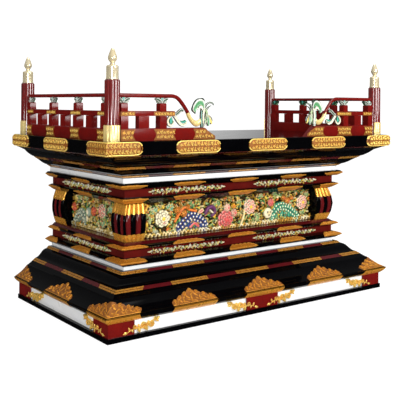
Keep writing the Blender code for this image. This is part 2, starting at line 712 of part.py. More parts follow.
def sill(start, end, floor, slope=0.0):
    """The bottom rail, its end drawn down to the slab over the slope's length."""
    top = floor + SILL_HEIGHT
    ease = SILL_WIDTH * 0.15
    half = SILL_WIDTH / 2
    outline = [(start, floor), (end, floor)]
    if slope:
        outline += [(end, floor + SILL_HEIGHT * 0.3), (end - slope, top)]
    else:
        outline += [(end, top)]
    outline += [(start, top)]
    rings = []
    for y, drop in ((-half, ease), (-half + ease, 0.0), (half - ease, 0.0), (half, ease)):
        rings.append([Vector((x, y, z - drop if z > floor + SILL_HEIGHT * 0.25 else z)) for x, z in outline])
    return loft(rings)


def strut_box(centre, width, depth, low, high, ease=0.0):
    return box((centre - width / 2, -depth / 2, low), (centre + width / 2, depth / 2, high), ease)


def rail_pieces(name, place, floor, ends, struts, wides, middle_end, sill_slope, handrail):
    """One railing along local X: sill with the lower struts, middle rail with the upper ones, handrail."""
    start, end = ends
    bite = STRUT_WIDTH * 0.1
    under = floor + MIDDLE_RAIL_UNDERSIDE
    over = under + MIDDLE_RAIL_HEIGHT
    lower = piece(f"{name}_sill", sill(start, end, floor, sill_slope), "red_lacquer", place)
    shapes = []
    for i, x in enumerate(struts):
        shape = strut_box(x, STRUT_WIDTH, STRUT_WIDTH, floor + SILL_HEIGHT - bite, under - GAP, STRUT_EASE)
        shapes.append(piece(f"{name}_low_strut_{i}", shape, "red_lacquer", place))
    for i, x in enumerate(wides):
        shape = strut_box(x, WIDE_STRUT_WIDTH, WIDE_STRUT_DEPTH, floor + SILL_HEIGHT - bite, under - GAP)
        shapes.append(piece(f"{name}_wide_strut_{i}", shape, "red_lacquer", place))
    joined(lower, *shapes)
    half = MIDDLE_RAIL_WIDTH / 2
    rail = box((start, -half, under), (middle_end, half, over), MIDDLE_RAIL_HEIGHT * 0.12)
    middle = piece(f"{name}_middle", rail, "red_lacquer", place)
    shapes = []
    for i, x in enumerate(struts):
        shape = strut_box(x, HIGH_STRUT_WIDTH, HIGH_STRUT_WIDTH, over - bite, floor + STRUT_TOP, STRUT_EASE)
        shapes.append(piece(f"{name}_high_strut_{i}", shape, "red_lacquer", place))
        carving = bracket(x, floor, (x - start, end - x))
        shapes.append(piece(f"{name}_bracket_{i}", carving, "green_carving", place))
    joined(middle, *shapes)
    shade_round(piece(f"{name}_handrail", handrail, "red_lacquer", place))
    return middle


def swept(path, radius, sides=8):
    """A round bar along a path of (x, z) points, with square ends."""
    rings = []
    for i, here in enumerate(path):
        ahead, behind = path[min(i + 1, len(path) - 1)], path[max(i - 1, 0)]
        way = Vector((ahead[0] - behind[0], 0, ahead[1] - behind[1])).normalized()
        side, lift = Vector((0, 1, 0)), way.cross(Vector((0, 1, 0)))
        turns = [2 * math.pi * (k + 0.5) / sides for k in range(sides)]
        centre = Vector((here[0], 0, here[1]))
        rings.append([centre + (side * math.cos(a) + lift * math.sin(a)) * radius for a in turns])
    return loft(rings)


def side_railings(floor):
    """A railing along each side between its front and back post."""
    places = dict(post_places())
    reach = POST_RADIUS + GAP
    for sign, side in ((-1, "left"), (1, "right")):
        front, back = places[f"front_{side}"].y, places[f"back_{side}"].y
        first, last = front + reach + STRUT_WIDTH / 2, back - reach - STRUT_WIDTH / 2
        step = (last - first) / (SIDE_STRUTS - 1)
        struts = [first + i * step for i in range(SIDE_STRUTS)]
        wides = [first + (i + 0.5) * step for i in range(SIDE_STRUTS - 1)]
        ends = (front + reach, back - reach)
        quarter_turn = Matrix.Rotation(math.pi / 2, 4, "Z")
        place = Matrix.Translation((sign * places["front_right"].x, 0, 0)) @ quarter_turn
        axis = floor + HANDRAIL_AXIS
        handrail = swept([(ends[0], axis), (ends[1], axis)], HANDRAIL_RADIUS)
        rail_pieces(f"rail_{side}", place, floor, ends, struts, wides, ends[1], 0.0, handrail)


def sweep_path(floor, start):
    """The handrail of a front return: level, then an S down to the sill."""
    axis = floor + HANDRAIL_AXIS
    low = floor + SILL_HEIGHT + HANDRAIL_RADIUS + GAP
    path = [(start, axis)]
    steps = 10
    for i in range(steps + 1):
        t = i / steps
        fall = t * t * (3 - 2 * t)
        x = RETURN_SWEEP_START + (RETURN_SWEEP_END - RETURN_SWEEP_START) * t
        path.append((x, axis + (low - axis) * fall))
    return path


def front_returns(floor):
    """The short railings at the front corners, each ending in a swept handrail and carved leaves."""
    places = dict(post_places())
    start = POST_RADIUS + GAP
    strut = start + STRUT_WIDTH / 2
    for sign, side in ((-1, "left"), (1, "right")):
        corner = places[f"front_{side}"]
        place = Matrix.Translation(corner)
        if sign > 0:
            place = place @ Matrix.Rotation(math.pi, 4, "Z")
        struts = [strut, RETURN_STRUT]
        handrail = swept(sweep_path(floor, start), HANDRAIL_RADIUS)
        middle = rail_pieces(f"return_{side}", place, floor, (start, RETURN_SILL_END), struts,
                             [(strut + RETURN_STRUT) / 2], RETURN_MIDDLE_END, RETURN_SILL_SLOPE, handrail)
        scrolls = [piece(f"scroll_{side}_{i}", shape, "green_carving", place)
                   for i, shape in enumerate(scroll_blades(floor))]
        joined(middle, *scrolls)
        names = [f"carved_leaf_{side}"] + [f"leaf_blade_{side}_{i}" for i in range(1, 4)]
        blades = [piece(name, shape, "green_carving", place)
                  for name, shape in zip(names, leaf_blades(floor))]
        joined(*blades)


def blade(spine, width, thickness):
    """A leaf blade: a flattened diamond section along a curved spine, widest before its middle."""
    controls = [Vector((x, 0, z)) for x, z in spine]
    steps = 5
    rings = []
    for i in range(steps + 1):
        t = i / steps
        here, way = spline_point(controls, t)
        across = Vector((way.z, 0, -way.x))
        spread = max(0.16, math.sin(math.pi * min(1.0, 0.22 + 0.78 * t) ** 0.9))
        w, d = across * width / 2 * spread, Vector((0, thickness / 2 * (0.5 + 0.5 * spread), 0))
        rings.append([here + w, here + d, here - w, here - d])
    return loft(rings)


def spline_point(controls, t):
    """Place and direction on a Catmull-Rom curve through the control points."""
    spans = len(controls) - 1
    k = min(int(t * spans), spans - 1)
    u = t * spans - k
    p1, p2 = controls[k], controls[k + 1]
    p0 = controls[k - 1] if k else p1 * 2 - p2
    p3 = controls[k + 2] if k + 2 <= spans else p2 * 2 - p1
    a, b, c = p2 - p0, p0 * 2 - p1 * 5 + p2 * 4 - p3, p1 * 3 - p0 - p2 * 3 + p3
    here = p1 + (a * u + b * u * u + c * u ** 3) / 2
    return here, (a + b * 2 * u + c * 3 * u * u).normalized()


def leaf_blades(floor):
    """The large curling leaf past the handrail's foot, in shares of its width and the handrail's height."""
    base = floor + SILL_HEIGHT + GAP
    tall = HANDRAIL_AXIS - SILL_HEIGHT
    shapes = (
        (((0.475, 0.00), (0.475, 0.20), (0.48, 0.46), (0.50, 0.70)), 0.20),
        (((0.47, 0.42), (0.56, 0.70), (0.36, 0.80), (0.16, 0.72), (0.04, 0.56), (0.12, 0.42)), 0.29),
        (((0.54, 0.52), (0.70, 0.70), (0.88, 0.76), (1.02, 0.64)), 0.12),
        (((0.46, 0.40), (0.62, 0.34), (0.74, 0.20), (0.84, 0.05)), 0.38),
    )
    for spine, width in shapes:
        points = [(LEAF_START + x * LEAF_WIDTH, base + z * tall) for x, z in spine]
        yield blade(points, width * LEAF_WIDTH, LEAF_THICKNESS)


def scroll_blades(floor):
    """The small scroll carved at the middle rail's end, in shares of its own width and height."""
    base = floor + MIDDLE_RAIL_UNDERSIDE + MIDDLE_RAIL_HEIGHT / 2
    shapes = (
        (((-0.14, 0.0), (0.12, -0.06), (0.34, 0.08), (0.48, 0.18), (0.57, 0.12)), 0.17),
        (((-0.12, 0.0), (0.13, -0.24), (0.30, -0.44), (0.48, -0.55), (0.64, -0.52), (0.74, -0.38)), 0.19),
        (((-0.12, 0.0), (0.0, -0.22), (0.0, -0.44), (-0.12, -0.54), (-0.24, -0.46), (-0.24, -0.32)), 0.22),
    )
    for spine, width in shapes:
        points = [(RETURN_MIDDLE_END + x * SCROLL_WIDTH, base + z * SCROLL_HEIGHT) for x, z in spine]
        yield blade(points, width * SCROLL_WIDTH, LEAF_THICKNESS)


def clear_scene():
    for old in list(bpy.data.objects):
        bpy.data.objects.remove(old, do_unlink=True)


def main():
    clear_scene()
    stack = Stack()
    lay_plinth(stack)
    lay_ledges_below(stack)
    build_drum(stack)
    lay_ledges_above(stack)
    lay_coves(stack)
    lay_slab(stack)
    floor = stack.top
    stand_posts(floor)
    side_railings(floor)
    front_returns(floor)


main()
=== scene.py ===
"""Looks of the temple altar dais: lacquers, chased gilt fittings, painted carving, studio and camera.

Metres, +Z up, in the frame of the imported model. The front faces -Y and the flat back faces +Y.
"""

import logging
import math
import random
from collections.abc import Callable, Iterable, Sequence
from dataclasses import dataclass, field
from enum import Enum

import bmesh
import bpy
import numpy as np
from mathutils import Matrix, Vector


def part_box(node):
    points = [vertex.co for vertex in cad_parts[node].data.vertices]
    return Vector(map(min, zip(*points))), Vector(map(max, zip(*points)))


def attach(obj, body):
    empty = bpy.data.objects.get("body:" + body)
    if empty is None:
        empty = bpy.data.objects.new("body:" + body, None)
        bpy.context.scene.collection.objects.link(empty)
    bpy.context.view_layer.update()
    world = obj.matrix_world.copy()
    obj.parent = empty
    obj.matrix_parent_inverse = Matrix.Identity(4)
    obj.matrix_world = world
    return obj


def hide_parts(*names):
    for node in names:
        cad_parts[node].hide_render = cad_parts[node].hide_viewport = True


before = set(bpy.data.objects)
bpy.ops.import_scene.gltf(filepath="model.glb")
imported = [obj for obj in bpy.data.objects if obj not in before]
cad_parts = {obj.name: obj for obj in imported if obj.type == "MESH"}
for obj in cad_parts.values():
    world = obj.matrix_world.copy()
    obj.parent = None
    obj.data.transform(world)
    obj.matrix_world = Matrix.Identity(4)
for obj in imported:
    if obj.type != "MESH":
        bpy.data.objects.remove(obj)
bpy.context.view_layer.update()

LOG = logging.getLogger("altar_dais")
BODY = "root"

Array = np.ndarray
Colour = tuple[float, float, float]
Faces = list[tuple[int, ...]]
Shape = tuple[Array, Faces]
Edge = Callable[[float], float]
Pairs = tuple[tuple[float, float], ...]


class Slot(Enum):
    """The record's material slots."""

    BLACK = "black_lacquer"
    RED = "red_lacquer"
    WHITE = "white_lacquer"
    FILLET = "gilt_fillet"
    METAL = "gold_metal"
    CARVING = "painted_carving"
    LEAF = "green_carving"


class Side(Enum):
    """A face of the dais or a corner that a fitting wraps."""

    FRONT = "front"
    LEFT = "left"
    RIGHT = "right"
    CORNER_LEFT = "front left corner"
    CORNER_RIGHT = "front right corner"
    BACK_LEFT = "back left end"
    BACK_RIGHT = "back right end"


class Reed(Enum):
    """Where a reed of a pillar stands."""

    FRONT = "front"
    SIDE = "side"
    CORNER = "corner"
    BACK = "back"


class Paint(Enum):
    """Paints of the carving: red, green, blue and how metallic."""

    GOLD = (0.8, 0.5, 0.12, 0.9)
    PALE_GOLD = (0.86, 0.68, 0.26, 0.7)
    OLD_GOLD = (0.42, 0.26, 0.07, 0.7)
    WHITE = (0.84, 0.84, 0.78, 0.0)
    CREAM = (0.8, 0.74, 0.5, 0.0)
    PINK = (0.78, 0.3, 0.34, 0.0)
    ROSE = (0.62, 0.08, 0.1, 0.0)
    ORANGE = (0.74, 0.2, 0.03, 0.0)
    GREEN = (0.05, 0.28, 0.09, 0.0)
    DARK_GREEN = (0.015, 0.07, 0.03, 0.0)
    LIGHT_GREEN = (0.26, 0.5, 0.22, 0.0)
    TURQUOISE = (0.06, 0.42, 0.34, 0.0)
    GREY_BLUE = (0.26, 0.38, 0.4, 0.0)
    BLUE = (0.03, 0.08, 0.42, 0.0)
    PURPLE = (0.12, 0.03, 0.16, 0.0)
    YELLOW = (0.82, 0.62, 0.06, 0.0)
    BLACK = (0.01, 0.012, 0.01, 0.0)


def feed(node: bpy.types.Node, inputs: dict[str | int, object]) -> None:
    """Feeds a node's inputs: an output socket is linked, anything else is set as the value.

    Args:
        node: The node.
        inputs: What each input gets, by its name or place.
    """
    for key, value in inputs.items():
        if isinstance(value, bpy.types.NodeSocket):
            node.id_data.links.new(value, node.inputs[key])
        else:
            node.inputs[key].default_value = value


def put(tree: bpy.types.NodeTree, kind: str, inputs: dict[str | int, object],
        operation: str = "") -> bpy.types.Node:
    """Adds a shader node to a tree.

    Args:
        tree: The tree.
        kind: Its kind, as its type's name ends.
        inputs: What its inputs get, as feed takes them.
        operation: What a mathematical node does.

    Returns:
        The node.
    """
    made = tree.nodes.new("ShaderNode" + kind)
    if operation:
        made.operation = operation
    feed(made, inputs)
    return made


def mapped(value: bpy.types.NodeSocket, *limits: float) -> bpy.types.NodeSocket:
    """Carries a value from one range to another.

    Args:
        value: The value.
        limits: Lowest and highest before, then lowest and highest after.

    Returns:
        The new value.
    """
    names = ("From Min", "From Max", "To Min", "To Max")
    return put(value.id_data, "MapRange", {"Value": value, **dict(zip(names, limits))}).outputs["Result"]


@dataclass(frozen=True)
class Finish:
    """A surface finish made of nodes.

    Attributes:
        name: Name of the Blender material.
        colour: Base colour.
        second: Colour that drifts in with the noise.
        drift: Share of the second colour.
        drift_scale: Size of the colour noise, in waves a metre.
        roughness: Lowest and highest roughness.
        metallic: How metallic it is.
        bump: Strength of the surface bump.
        bump_scale: Size of the bump's grain, in waves a metre.
        coat: Weight of the clear top coat.
        sheen: Strength of the plain reflection, as the shader counts it.
    """

    name: str
    colour: Colour
    second: Colour
    drift: float = 0.3
    drift_scale: float = 18.0
    roughness: tuple[float, float] = (0.2, 0.3)
    metallic: float = 0.0
    bump: float = 0.05
    bump_scale: float = 400.0
    coat: float = 0.0
    sheen: float = 0.5

    def material(self) -> bpy.types.Material:
        """Makes the material once and returns it.

        Returns:
            The Blender material with this finish.
        """
        if self.name in bpy.data.materials:
            return bpy.data.materials[self.name]
        made = bpy.data.materials.new(self.name)
        made.use_nodes = True
        tree = made.node_tree
        shader = tree.nodes["Principled BSDF"]
        place = put(tree, "TexCoord", {}).outputs["Object"]
        noise, grain = (
            put(tree, "TexNoise", {"Scale": scale, "Detail": detail, "Vector": place}).outputs["Fac"]
            for scale, detail in ((self.drift_scale, 4.0), (self.bump_scale, 3.0)))
        self.connect_colour(shader, noise)
        bump = put(tree, "Bump", {"Strength": self.bump, "Distance": 0.001, "Height": grain})
        rough = mapped(noise, 0.3, 0.7, *self.roughness)
        feed(shader, {"Specular IOR Level": self.sheen, "Roughness": rough,
                      "Normal": bump.outputs["Normal"]})
        if self.coat:
            feed(shader, {"Coat Weight": self.coat, "Coat Roughness": self.roughness[0] * 0.5})
        return made

    def connect_colour(self, shader: bpy.types.Node, noise: bpy.types.NodeSocket) -> None:
        """Mixes the two colours by the noise into the shader.

        Args:
            shader: The Principled shader.
            noise: The noise that drives the drift.
        """
        ramp = put(shader.id_data, "ValToRGB", {"Fac": noise})
        stops = ((0.5 - self.drift / 2, self.colour), (0.5 + self.drift / 2 + 0.15, self.second))
        for element, (position, colour) in zip(ramp.color_ramp.elements, stops):
            element.position = position
            element.color = (*colour, 1.0)
        feed(shader, {"Base Color": ramp.outputs["Color"], "Metallic": self.metallic})


@dataclass(frozen=True)
class Lacquer(Finish):
    """Polished lacquer, very slightly uneven."""

    roughness: tuple[float, float] = (0.1, 0.16)
    bump: float = 0.015
    bump_scale: float = 60.0
    sheen: float = 0.3


@dataclass(frozen=True)
class Gilt(Finish):
    """Gilt metal with a fine grain."""

    drift_scale: float = 60.0
    metallic: float = 0.5
    bump: float = 0.2
    bump_scale: float = 500.0


@dataclass(frozen=True)
class PaintedFinish(Finish):
    """Carving whose paint comes from each point's own colour, gilt where that says so."""

    def connect_colour(self, shader: bpy.types.Node, noise: bpy.types.NodeSocket) -> None:
        """Feeds the points' paint to the shader, worn darker by the noise.

        Args:
            shader: The Principled shader.
            noise: The noise that drives the wear.
        """
        tree = shader.id_data
        paint = put(tree, "Attribute", {})
        paint.attribute_name = PAINT_LAYER
        wear = put(tree, "Mix", {})
        wear.data_type = "RGBA"
        wear.blend_type = "MULTIPLY"
        feed(wear, {"A": paint.outputs["Color"], "B": (*self.second, 1.0),
                    "Factor": mapped(noise, 0.45, 0.75, 0.0, self.drift)})
        feed(shader, {"Base Color": wear.outputs["Result"], "Metallic": paint.outputs["Alpha"]})


PAINT_LAYER = "paint"

BLACK = Lacquer("polished black lacquer", (0.0007, 0.0007, 0.001), (0.0012, 0.0012, 0.0016),
                roughness=(0.06, 0.1), bump=0.012, sheen=0.08)
RED = Lacquer("polished red lacquer", (0.155, 0.0058, 0.0042), (0.105, 0.004, 0.0035), sheen=0.35)
POST_RED = Lacquer("polished red lacquer of the posts", (0.15, 0.0058, 0.0045), (0.11, 0.004, 0.004),
                   roughness=(0.16, 0.22), bump=0.01, coat=1.0, sheen=1.0)
BAND_RED = Lacquer("deep red lacquer of the bands", (0.105, 0.0062, 0.0042), (0.065, 0.004, 0.003))
DARK_RED = Lacquer("dark red lacquer", (0.075, 0.004, 0.005), (0.05, 0.003, 0.004), roughness=(0.12, 0.2))
REED_RED = Lacquer("red lacquer of the reeds", (0.11, 0.005, 0.006), (0.07, 0.004, 0.005), sheen=0.6)
STRIPE_RED = Lacquer("maroon lacquer on the fillets", (0.085, 0.006, 0.008), (0.06, 0.004, 0.006),
                     roughness=(0.12, 0.2))
WHITE = Lacquer("white lacquer", (0.88, 0.88, 0.87), (0.82, 0.83, 0.84), roughness=(0.25, 0.35),
                bump=0.02, bump_scale=80, sheen=0.5)
BRIGHT_GOLD = Gilt("bright gilt metal", (1.0, 0.68, 0.17), (0.9, 0.48, 0.07), roughness=(0.2, 0.34),
                   bump=0.25)
POLISHED_GOLD = Gilt("polished gilt metal", (1.0, 0.88, 0.6), (0.98, 0.8, 0.46), drift_scale=8,
                     roughness=(0.14, 0.2), metallic=0.6, bump=0.02, bump_scale=200)
PALE_GOLD = Gilt("pale gilt metal", (1.0, 0.8, 0.36), (0.95, 0.68, 0.22), drift_scale=40,
                 roughness=(0.24, 0.34), metallic=0.45, bump=0.08, bump_scale=300)
ORANGE_GOLD = Gilt("deep gilt metal", (0.72, 0.28, 0.028), (0.46, 0.14, 0.012), drift_scale=50,
                   roughness=(0.28, 0.42), bump=0.25)
RIB_GOLD = Gilt("gilt ribs and scrolls", (0.84, 0.38, 0.045), (0.6, 0.22, 0.018), drift_scale=50,
                roughness=(0.24, 0.36))
TONGUE_GOLD = Gilt("gilt tongues of the pillars", (0.86, 0.43, 0.06), (0.58, 0.22, 0.02),
                   roughness=(0.2, 0.32), metallic=0.55, bump_scale=400)
STRIPE_GOLD = Gilt("leaf gilding on the fillets", (0.72, 0.34, 0.05), (0.52, 0.2, 0.025), drift_scale=40,
                   roughness=(0.22, 0.34), metallic=0.6, bump=0.15, bump_scale=300)
# Painted shade: the plates under the chasing are a darkened copy of the gilt, standing in for shade in the
# chased hollows.
GILT_IN_PAINTED_SHADE = Gilt("gilt ground darkened as painted shade", (0.34, 0.115, 0.01), (0.16, 0.045, 0.005),
              drift_scale=90, roughness=(0.35, 0.5), metallic=0.2, bump=0.5, bump_scale=700)
CHASING = Gilt("bright chasing of the fittings", (1.0, 0.76, 0.2), (1.0, 0.58, 0.09),
               roughness=(0.22, 0.34), metallic=0.28)
PAINTED = PaintedFinish("paint on carved wood", (1, 1, 1), (0.55, 0.45, 0.3), drift=0.5,
                        drift_scale=120, roughness=(0.32, 0.5), bump=0.2, bump_scale=600)


@dataclass
class Pile:
    """Closed shapes gathered into one piece, each point with its paint."""

    points: list[Array] = field(default_factory=list)
    faces: Faces = field(default_factory=list)
    paints: list[Array] = field(default_factory=list)
    count: int = 0

    def add(self, points: Array, faces: Iterable[Sequence[int]],
            paint: "Paint | Array" = Paint.GOLD) -> None:
        """Adds a shape.

        Args:
            points: Its points, (n, 3).
            faces: Its faces, as places in points.
            paint: One paint for the shape, or an (n, 4) array with each point's own.
        """
        if isinstance(paint, Paint):
            paint = np.tile(np.array(paint.value), (len(points), 1))
        self.points.append(points)
        self.paints.append(paint)
        self.faces += [tuple(i + self.count for i in face) for face in faces]
        self.count += len(points)

    def build(self, name: str, finish: Finish, slot: Slot, replaces: Sequence[str] = (),
              angle: float = 40.0) -> None:
        """Makes the piece and lets it ride on the dais.

        Args:
            name: The piece's name.
            finish: Its finish.
            slot: The record's slot for its finish. Not used.
            replaces: CAD nodes that it stands for.
            angle: Edges sharper than this, in degrees, stay sharp.
        """
        mesh = bpy.data.meshes.new(name)
        mesh.from_pydata(np.concatenate(self.points).tolist(), [], self.faces)
        layer = mesh.color_attributes.new(PAINT_LAYER, "FLOAT_COLOR", "POINT")
        layer.data.foreach_set("color", np.concatenate(self.paints).astype(np.float32).ravel())
        work = bmesh.new()
        work.from_mesh(mesh)
        bmesh.ops.recalc_face_normals(work, faces=work.faces)
        work.to_mesh(mesh)
        work.free()
        mesh.shade_smooth()
        mesh.set_sharp_from_angle(angle=math.radians(angle))
        mesh.materials.append(finish.material())
        made = bpy.data.objects.new(name, mesh)
        bpy.context.scene.collection.objects.link(made)
        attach(made, BODY)
        if replaces:
            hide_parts(*replaces)
        LOG.info("%s: %d faces", name, len(mesh.polygons))


def lofted(rings: Array) -> Shape:
    """A closed skin over rings of points, capped at both ends.

    Args:
        rings: The rings, (rows, columns, 3).

    Returns:
        Points and faces.
    """
    rows, columns, _ = rings.shape
    last = (rows - 1) * columns
    faces: Faces = [(r * columns + c, r * columns + (c + 1) % columns,
                     (r + 1) * columns + (c + 1) % columns, (r + 1) * columns + c)
                    for r in range(rows - 1) for c in range(columns)]
    faces.append(tuple(range(columns))[::-1])
    faces.append(tuple(range(last, last + columns)))
    return rings.reshape(-1, 3), faces


def round_about(count: int) -> Array:
    """Evenly spaced angles of one full turn."""
    return np.linspace(0, 2 * math.pi, count, endpoint=False)


def turned(profile: Sequence[tuple[float, float]], turn: Array, centre: Sequence[float],
           cut: Array | float = 0.0) -> Shape:
    """A turned shape.

    Args:
        profile: (radius, height) pairs from foot to head.
        turn: Angles of the points round it.
        centre: Plan position and height of the foot.
        cut: How deep the outline is cut at each angle.

    Returns:
        Points and faces.
    """
    rings = np.array([np.stack([(r - cut) * np.cos(turn), (r - cut) * np.sin(turn),
                                np.full(len(turn), z)], axis=1) for r, z in profile])
    return lofted(rings + np.array(centre))


def swept(path: Array, across: Array, out: Array) -> Shape:
    """A closed skin swept along a path in its ground's plane.

    Args:
        path: Its middle line, (n, 2).
        across: How far each point of each ring stands to the left of it, (n, m).
        out: How far out each of them stands, (n, m).

    Returns:
        Points and faces in (along, up, out).
    """
    way = np.gradient(path, axis=0)
    way /= np.maximum(np.linalg.norm(way, axis=1, keepdims=True), 1e-9)
    left = np.stack([-way[:, 1], way[:, 0]], axis=1)
    rings = np.empty((*across.shape, 3))
    rings[..., :2] = path[:, None] + left[:, None] * across[..., None]
    rings[..., 2] = out
    return lofted(rings)


RIDGE = np.array([(-0.5, -0.4), (-0.42, 0.5), (-0.18, 0.92), (0.18, 0.92), (0.42, 0.5), (0.5, -0.4)])


@dataclass(frozen=True)
class Stroke:
    """A raised line of chasing or carving in its ground's (along, up) plane, with a width and a height
    at each point of its middle line."""

    path: Array
    width: Array
    height: Array
    paint: Paint = Paint.GOLD

    def shape(self, base: float = 0.0, depth: float = 0.0) -> Shape:
        """The stroke as a closed ridge in (along, up, out).

        Args:
            base: How far out its foot stands.
            depth: How deep its foot is set, or zero for a share of its height.

        Returns:
            Points and faces.
        """
        out = base + RIDGE[:, 1] * self.height[:, None]
        if depth:
            out[:, RIDGE[:, 1] < 0] = base - depth
        return swept(self.path, RIDGE[:, 0] * self.width[:, None], out)

    def mirrored(self) -> "Stroke":
        """The stroke mirrored left to right."""
        return Stroke(self.path * [-1, 1], self.width, self.height, self.paint)


def curl(centre: tuple[float, float], radius: float, start: float, turns: float = 1.4,
         hand: int = 1, width: float = 0.3, height: float = 0.002,
         paint: Paint = Paint.GOLD) -> list[Stroke]:
    """A spiral that winds in to a bead.

    Args:
        centre: The bead's place.
        radius: Radius at the outer end.
        start: Angle of the outer end, in radians.
        turns: Number of turns.
        hand: 1 winds anticlockwise, -1 clockwise.
        width: Width as a share of the radius.
        height: Height of the ridge.
        paint: Its paint.

    Returns:
        The spiral and its bead.
    """
    steps = max(8, int(turns * 11))
    t = np.linspace(0, 1, steps)
    angle = start + hand * 2 * math.pi * turns * t
    reach = radius * (1 - 0.8 * t ** 0.8)
    path = np.array(centre) + np.stack([np.cos(angle), np.sin(angle)], axis=1) * reach[:, None]
    broad = radius * width * (1 - 0.35 * t) * np.minimum(1, 0.35 + t * 6)
    bead = np.array([centre]) + np.stack([np.linspace(-1, 1, 4) * radius * 0.16, np.zeros(4)], axis=1)
    return [Stroke(path, broad, np.full(steps, height), paint),
            Stroke(bead, radius * np.array([0.14, 0.34, 0.34, 0.14]), np.full(4, height * 1.2), paint)]


def leaf(foot: tuple[float, float], angle: float, length: float, width: float, bend: float = 0.4,
         height: float = 0.002, paint: Paint = Paint.GOLD) -> Stroke:
    """A pointed leaf on a bent middle line.

    Args:
        foot: Its foot.
        angle: Direction it sets out in, in radians.
        length: Its length.
        width: Its greatest width.
        bend: How far it turns on its way, in radians.
        height: Height of its ridge.
        paint: Its paint.

    Returns:
        The leaf.
    """
    t = np.linspace(0, 1, 7)
    turn = angle + bend * (t - 0.3)
    step = np.stack([np.cos(turn), np.sin(turn)], axis=1) * length / 6
    path = np.array(foot) + np.vstack([[0, 0], np.cumsum(step[:-1], axis=0)])
    broad = width * np.sin(math.pi * (0.12 + 0.84 * t) ** 0.85).clip(0.1)
    return Stroke(path, broad, height * (0.5 + 0.5 * np.sin(math.pi * t)), paint)


class Ground:
    """A surface that ornament is laid on: it carries (along, up, out) to the model's frame."""

    def world(self, points: Array) -> Array:
        """Carries (along, up, out) points, (n, 3), to the model's frame."""
        raise NotImplementedError

    def carried(self, shape: Shape) -> Shape:
        """Carries a shape to the model's frame."""
        return self.world(shape[0]), shape[1]


@dataclass(frozen=True)
class Flat(Ground):
    """A flat surface: where along, up and out are zero, and their directions."""

    origin: Sequence[float]
    along: Sequence[float]
    out: Sequence[float]
    up: Sequence[float] = (0, 0, 1)

    def world(self, points: Array) -> Array:
        """Carries (along, up, out) points, (n, 3), to the model's frame."""
        return np.array(self.origin) + points @ np.array([self.along, self.up, self.out], float)

    def moved_out(self, out: float) -> "Flat":
        """The same surface, further out."""
        origin = np.array(self.origin, float) + np.array(self.out, float) * out
        return Flat(tuple(origin), self.along, self.out)


@dataclass(frozen=True)
class Profile:
    """A course's outline: how far it stands in from the slab's edge at each height, from foot to head."""

    inset: Array
    height: Array

    @staticmethod
    def of(node: str, half_width: float) -> "Profile":
        """Reads the outline of a CAD course from its mesh.

        Args:
            node: The course's node.
            half_width: Half the slab's width.

        Returns:
            The profile.
        """
        levels: dict[int, float] = {}
        for x, _, z in (v.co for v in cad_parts[node].data.vertices):
            key = round(float(z) * 1e5)
            levels[key] = max(levels.get(key, 0.0), x)
        heights = sorted(levels)
        return Profile(np.array([half_width - levels[k] for k in heights]), np.array(heights) / 1e5)

    def run(self) -> Array:
        """Length along the outline from the foot to each of its points."""
        return np.concatenate([[0], np.cumsum(np.hypot(np.diff(self.inset), np.diff(self.height)))])

    def tip(self) -> float:
        """Length along the outline to where it stands out furthest."""
        return float(self.run()[int(np.argmin(self.inset))])

    def at(self, up: Array, out: Array) -> tuple[Array, Array]:
        """Inset and height of places on the outline.

        Args:
            up: Length along the outline from its foot.
            out: Distance out from it.

        Returns:
            Insets and heights.
        """
        run = self.run()
        span = np.clip(np.searchsorted(run, up, side="right") - 1, 0, len(run) - 2)
        share = (up - run[span]) / np.maximum(run[span + 1] - run[span], 1e-9)
        way_in, way_up = np.diff(self.inset)[span], np.diff(self.height)[span]
        length = np.maximum(np.hypot(way_in, way_up), 1e-9)
        return (self.inset[span] + way_in * share - out * way_up / length,
                self.height[span] + way_up * share + out * way_in / length)


@dataclass(frozen=True)
class OnCourse(Ground):
    """A face or corner of a course, with the place along the face of along zero, and whether what lies
    on a back end wraps: goes on round the corner."""

    profile: Profile
    side: Side
    half_width: float
    half_depth: float
    centre: float = 0.0
    wraps: bool = False

    def world(self, points: Array) -> Array:
        """Carries (along, up, out) points, (n, 3), to the model's frame."""
        along, up, out = points.T
        inset, height = self.profile.at(up, out)
        x, y = self.half_width - inset, -self.half_depth + inset
        sign = 1 if "right" in self.side.value else -1
        past = -sign * along
        if self.side is Side.FRONT:
            x = along + self.centre
        elif self.side in (Side.LEFT, Side.RIGHT):
            x, y = sign * x, self.centre + sign * along
        elif self.side in (Side.CORNER_LEFT, Side.CORNER_RIGHT):
            x, y = sign * (x - np.maximum(past, 0)), y + np.maximum(-past, 0)
        else:
            behind = past <= 0 if self.wraps else past < 0
            x = sign * (x - np.maximum(-past, 0))
            y = self.half_depth + np.where(behind, out, 0.0) - np.maximum(past, 0)
        return np.stack([x, y, height], axis=1)

    def span(self, half: float) -> tuple[float, float]:
        """Start and end along of what is this long on each side, cut off at a back end."""
        return 0.0 if self.side is Side.BACK_LEFT else -half, 0.0 if self.side is Side.BACK_RIGHT else half


SUNK = -0.0005


def sheet(front: Array) -> Shape:
    """A closed sheet from the grid of its front, (rows, columns, 3), with its back just in the ground."""
    back = front[:, ::-1].copy()
    back[..., 2] = SUNK
    return lofted(np.concatenate([front, back], axis=1))


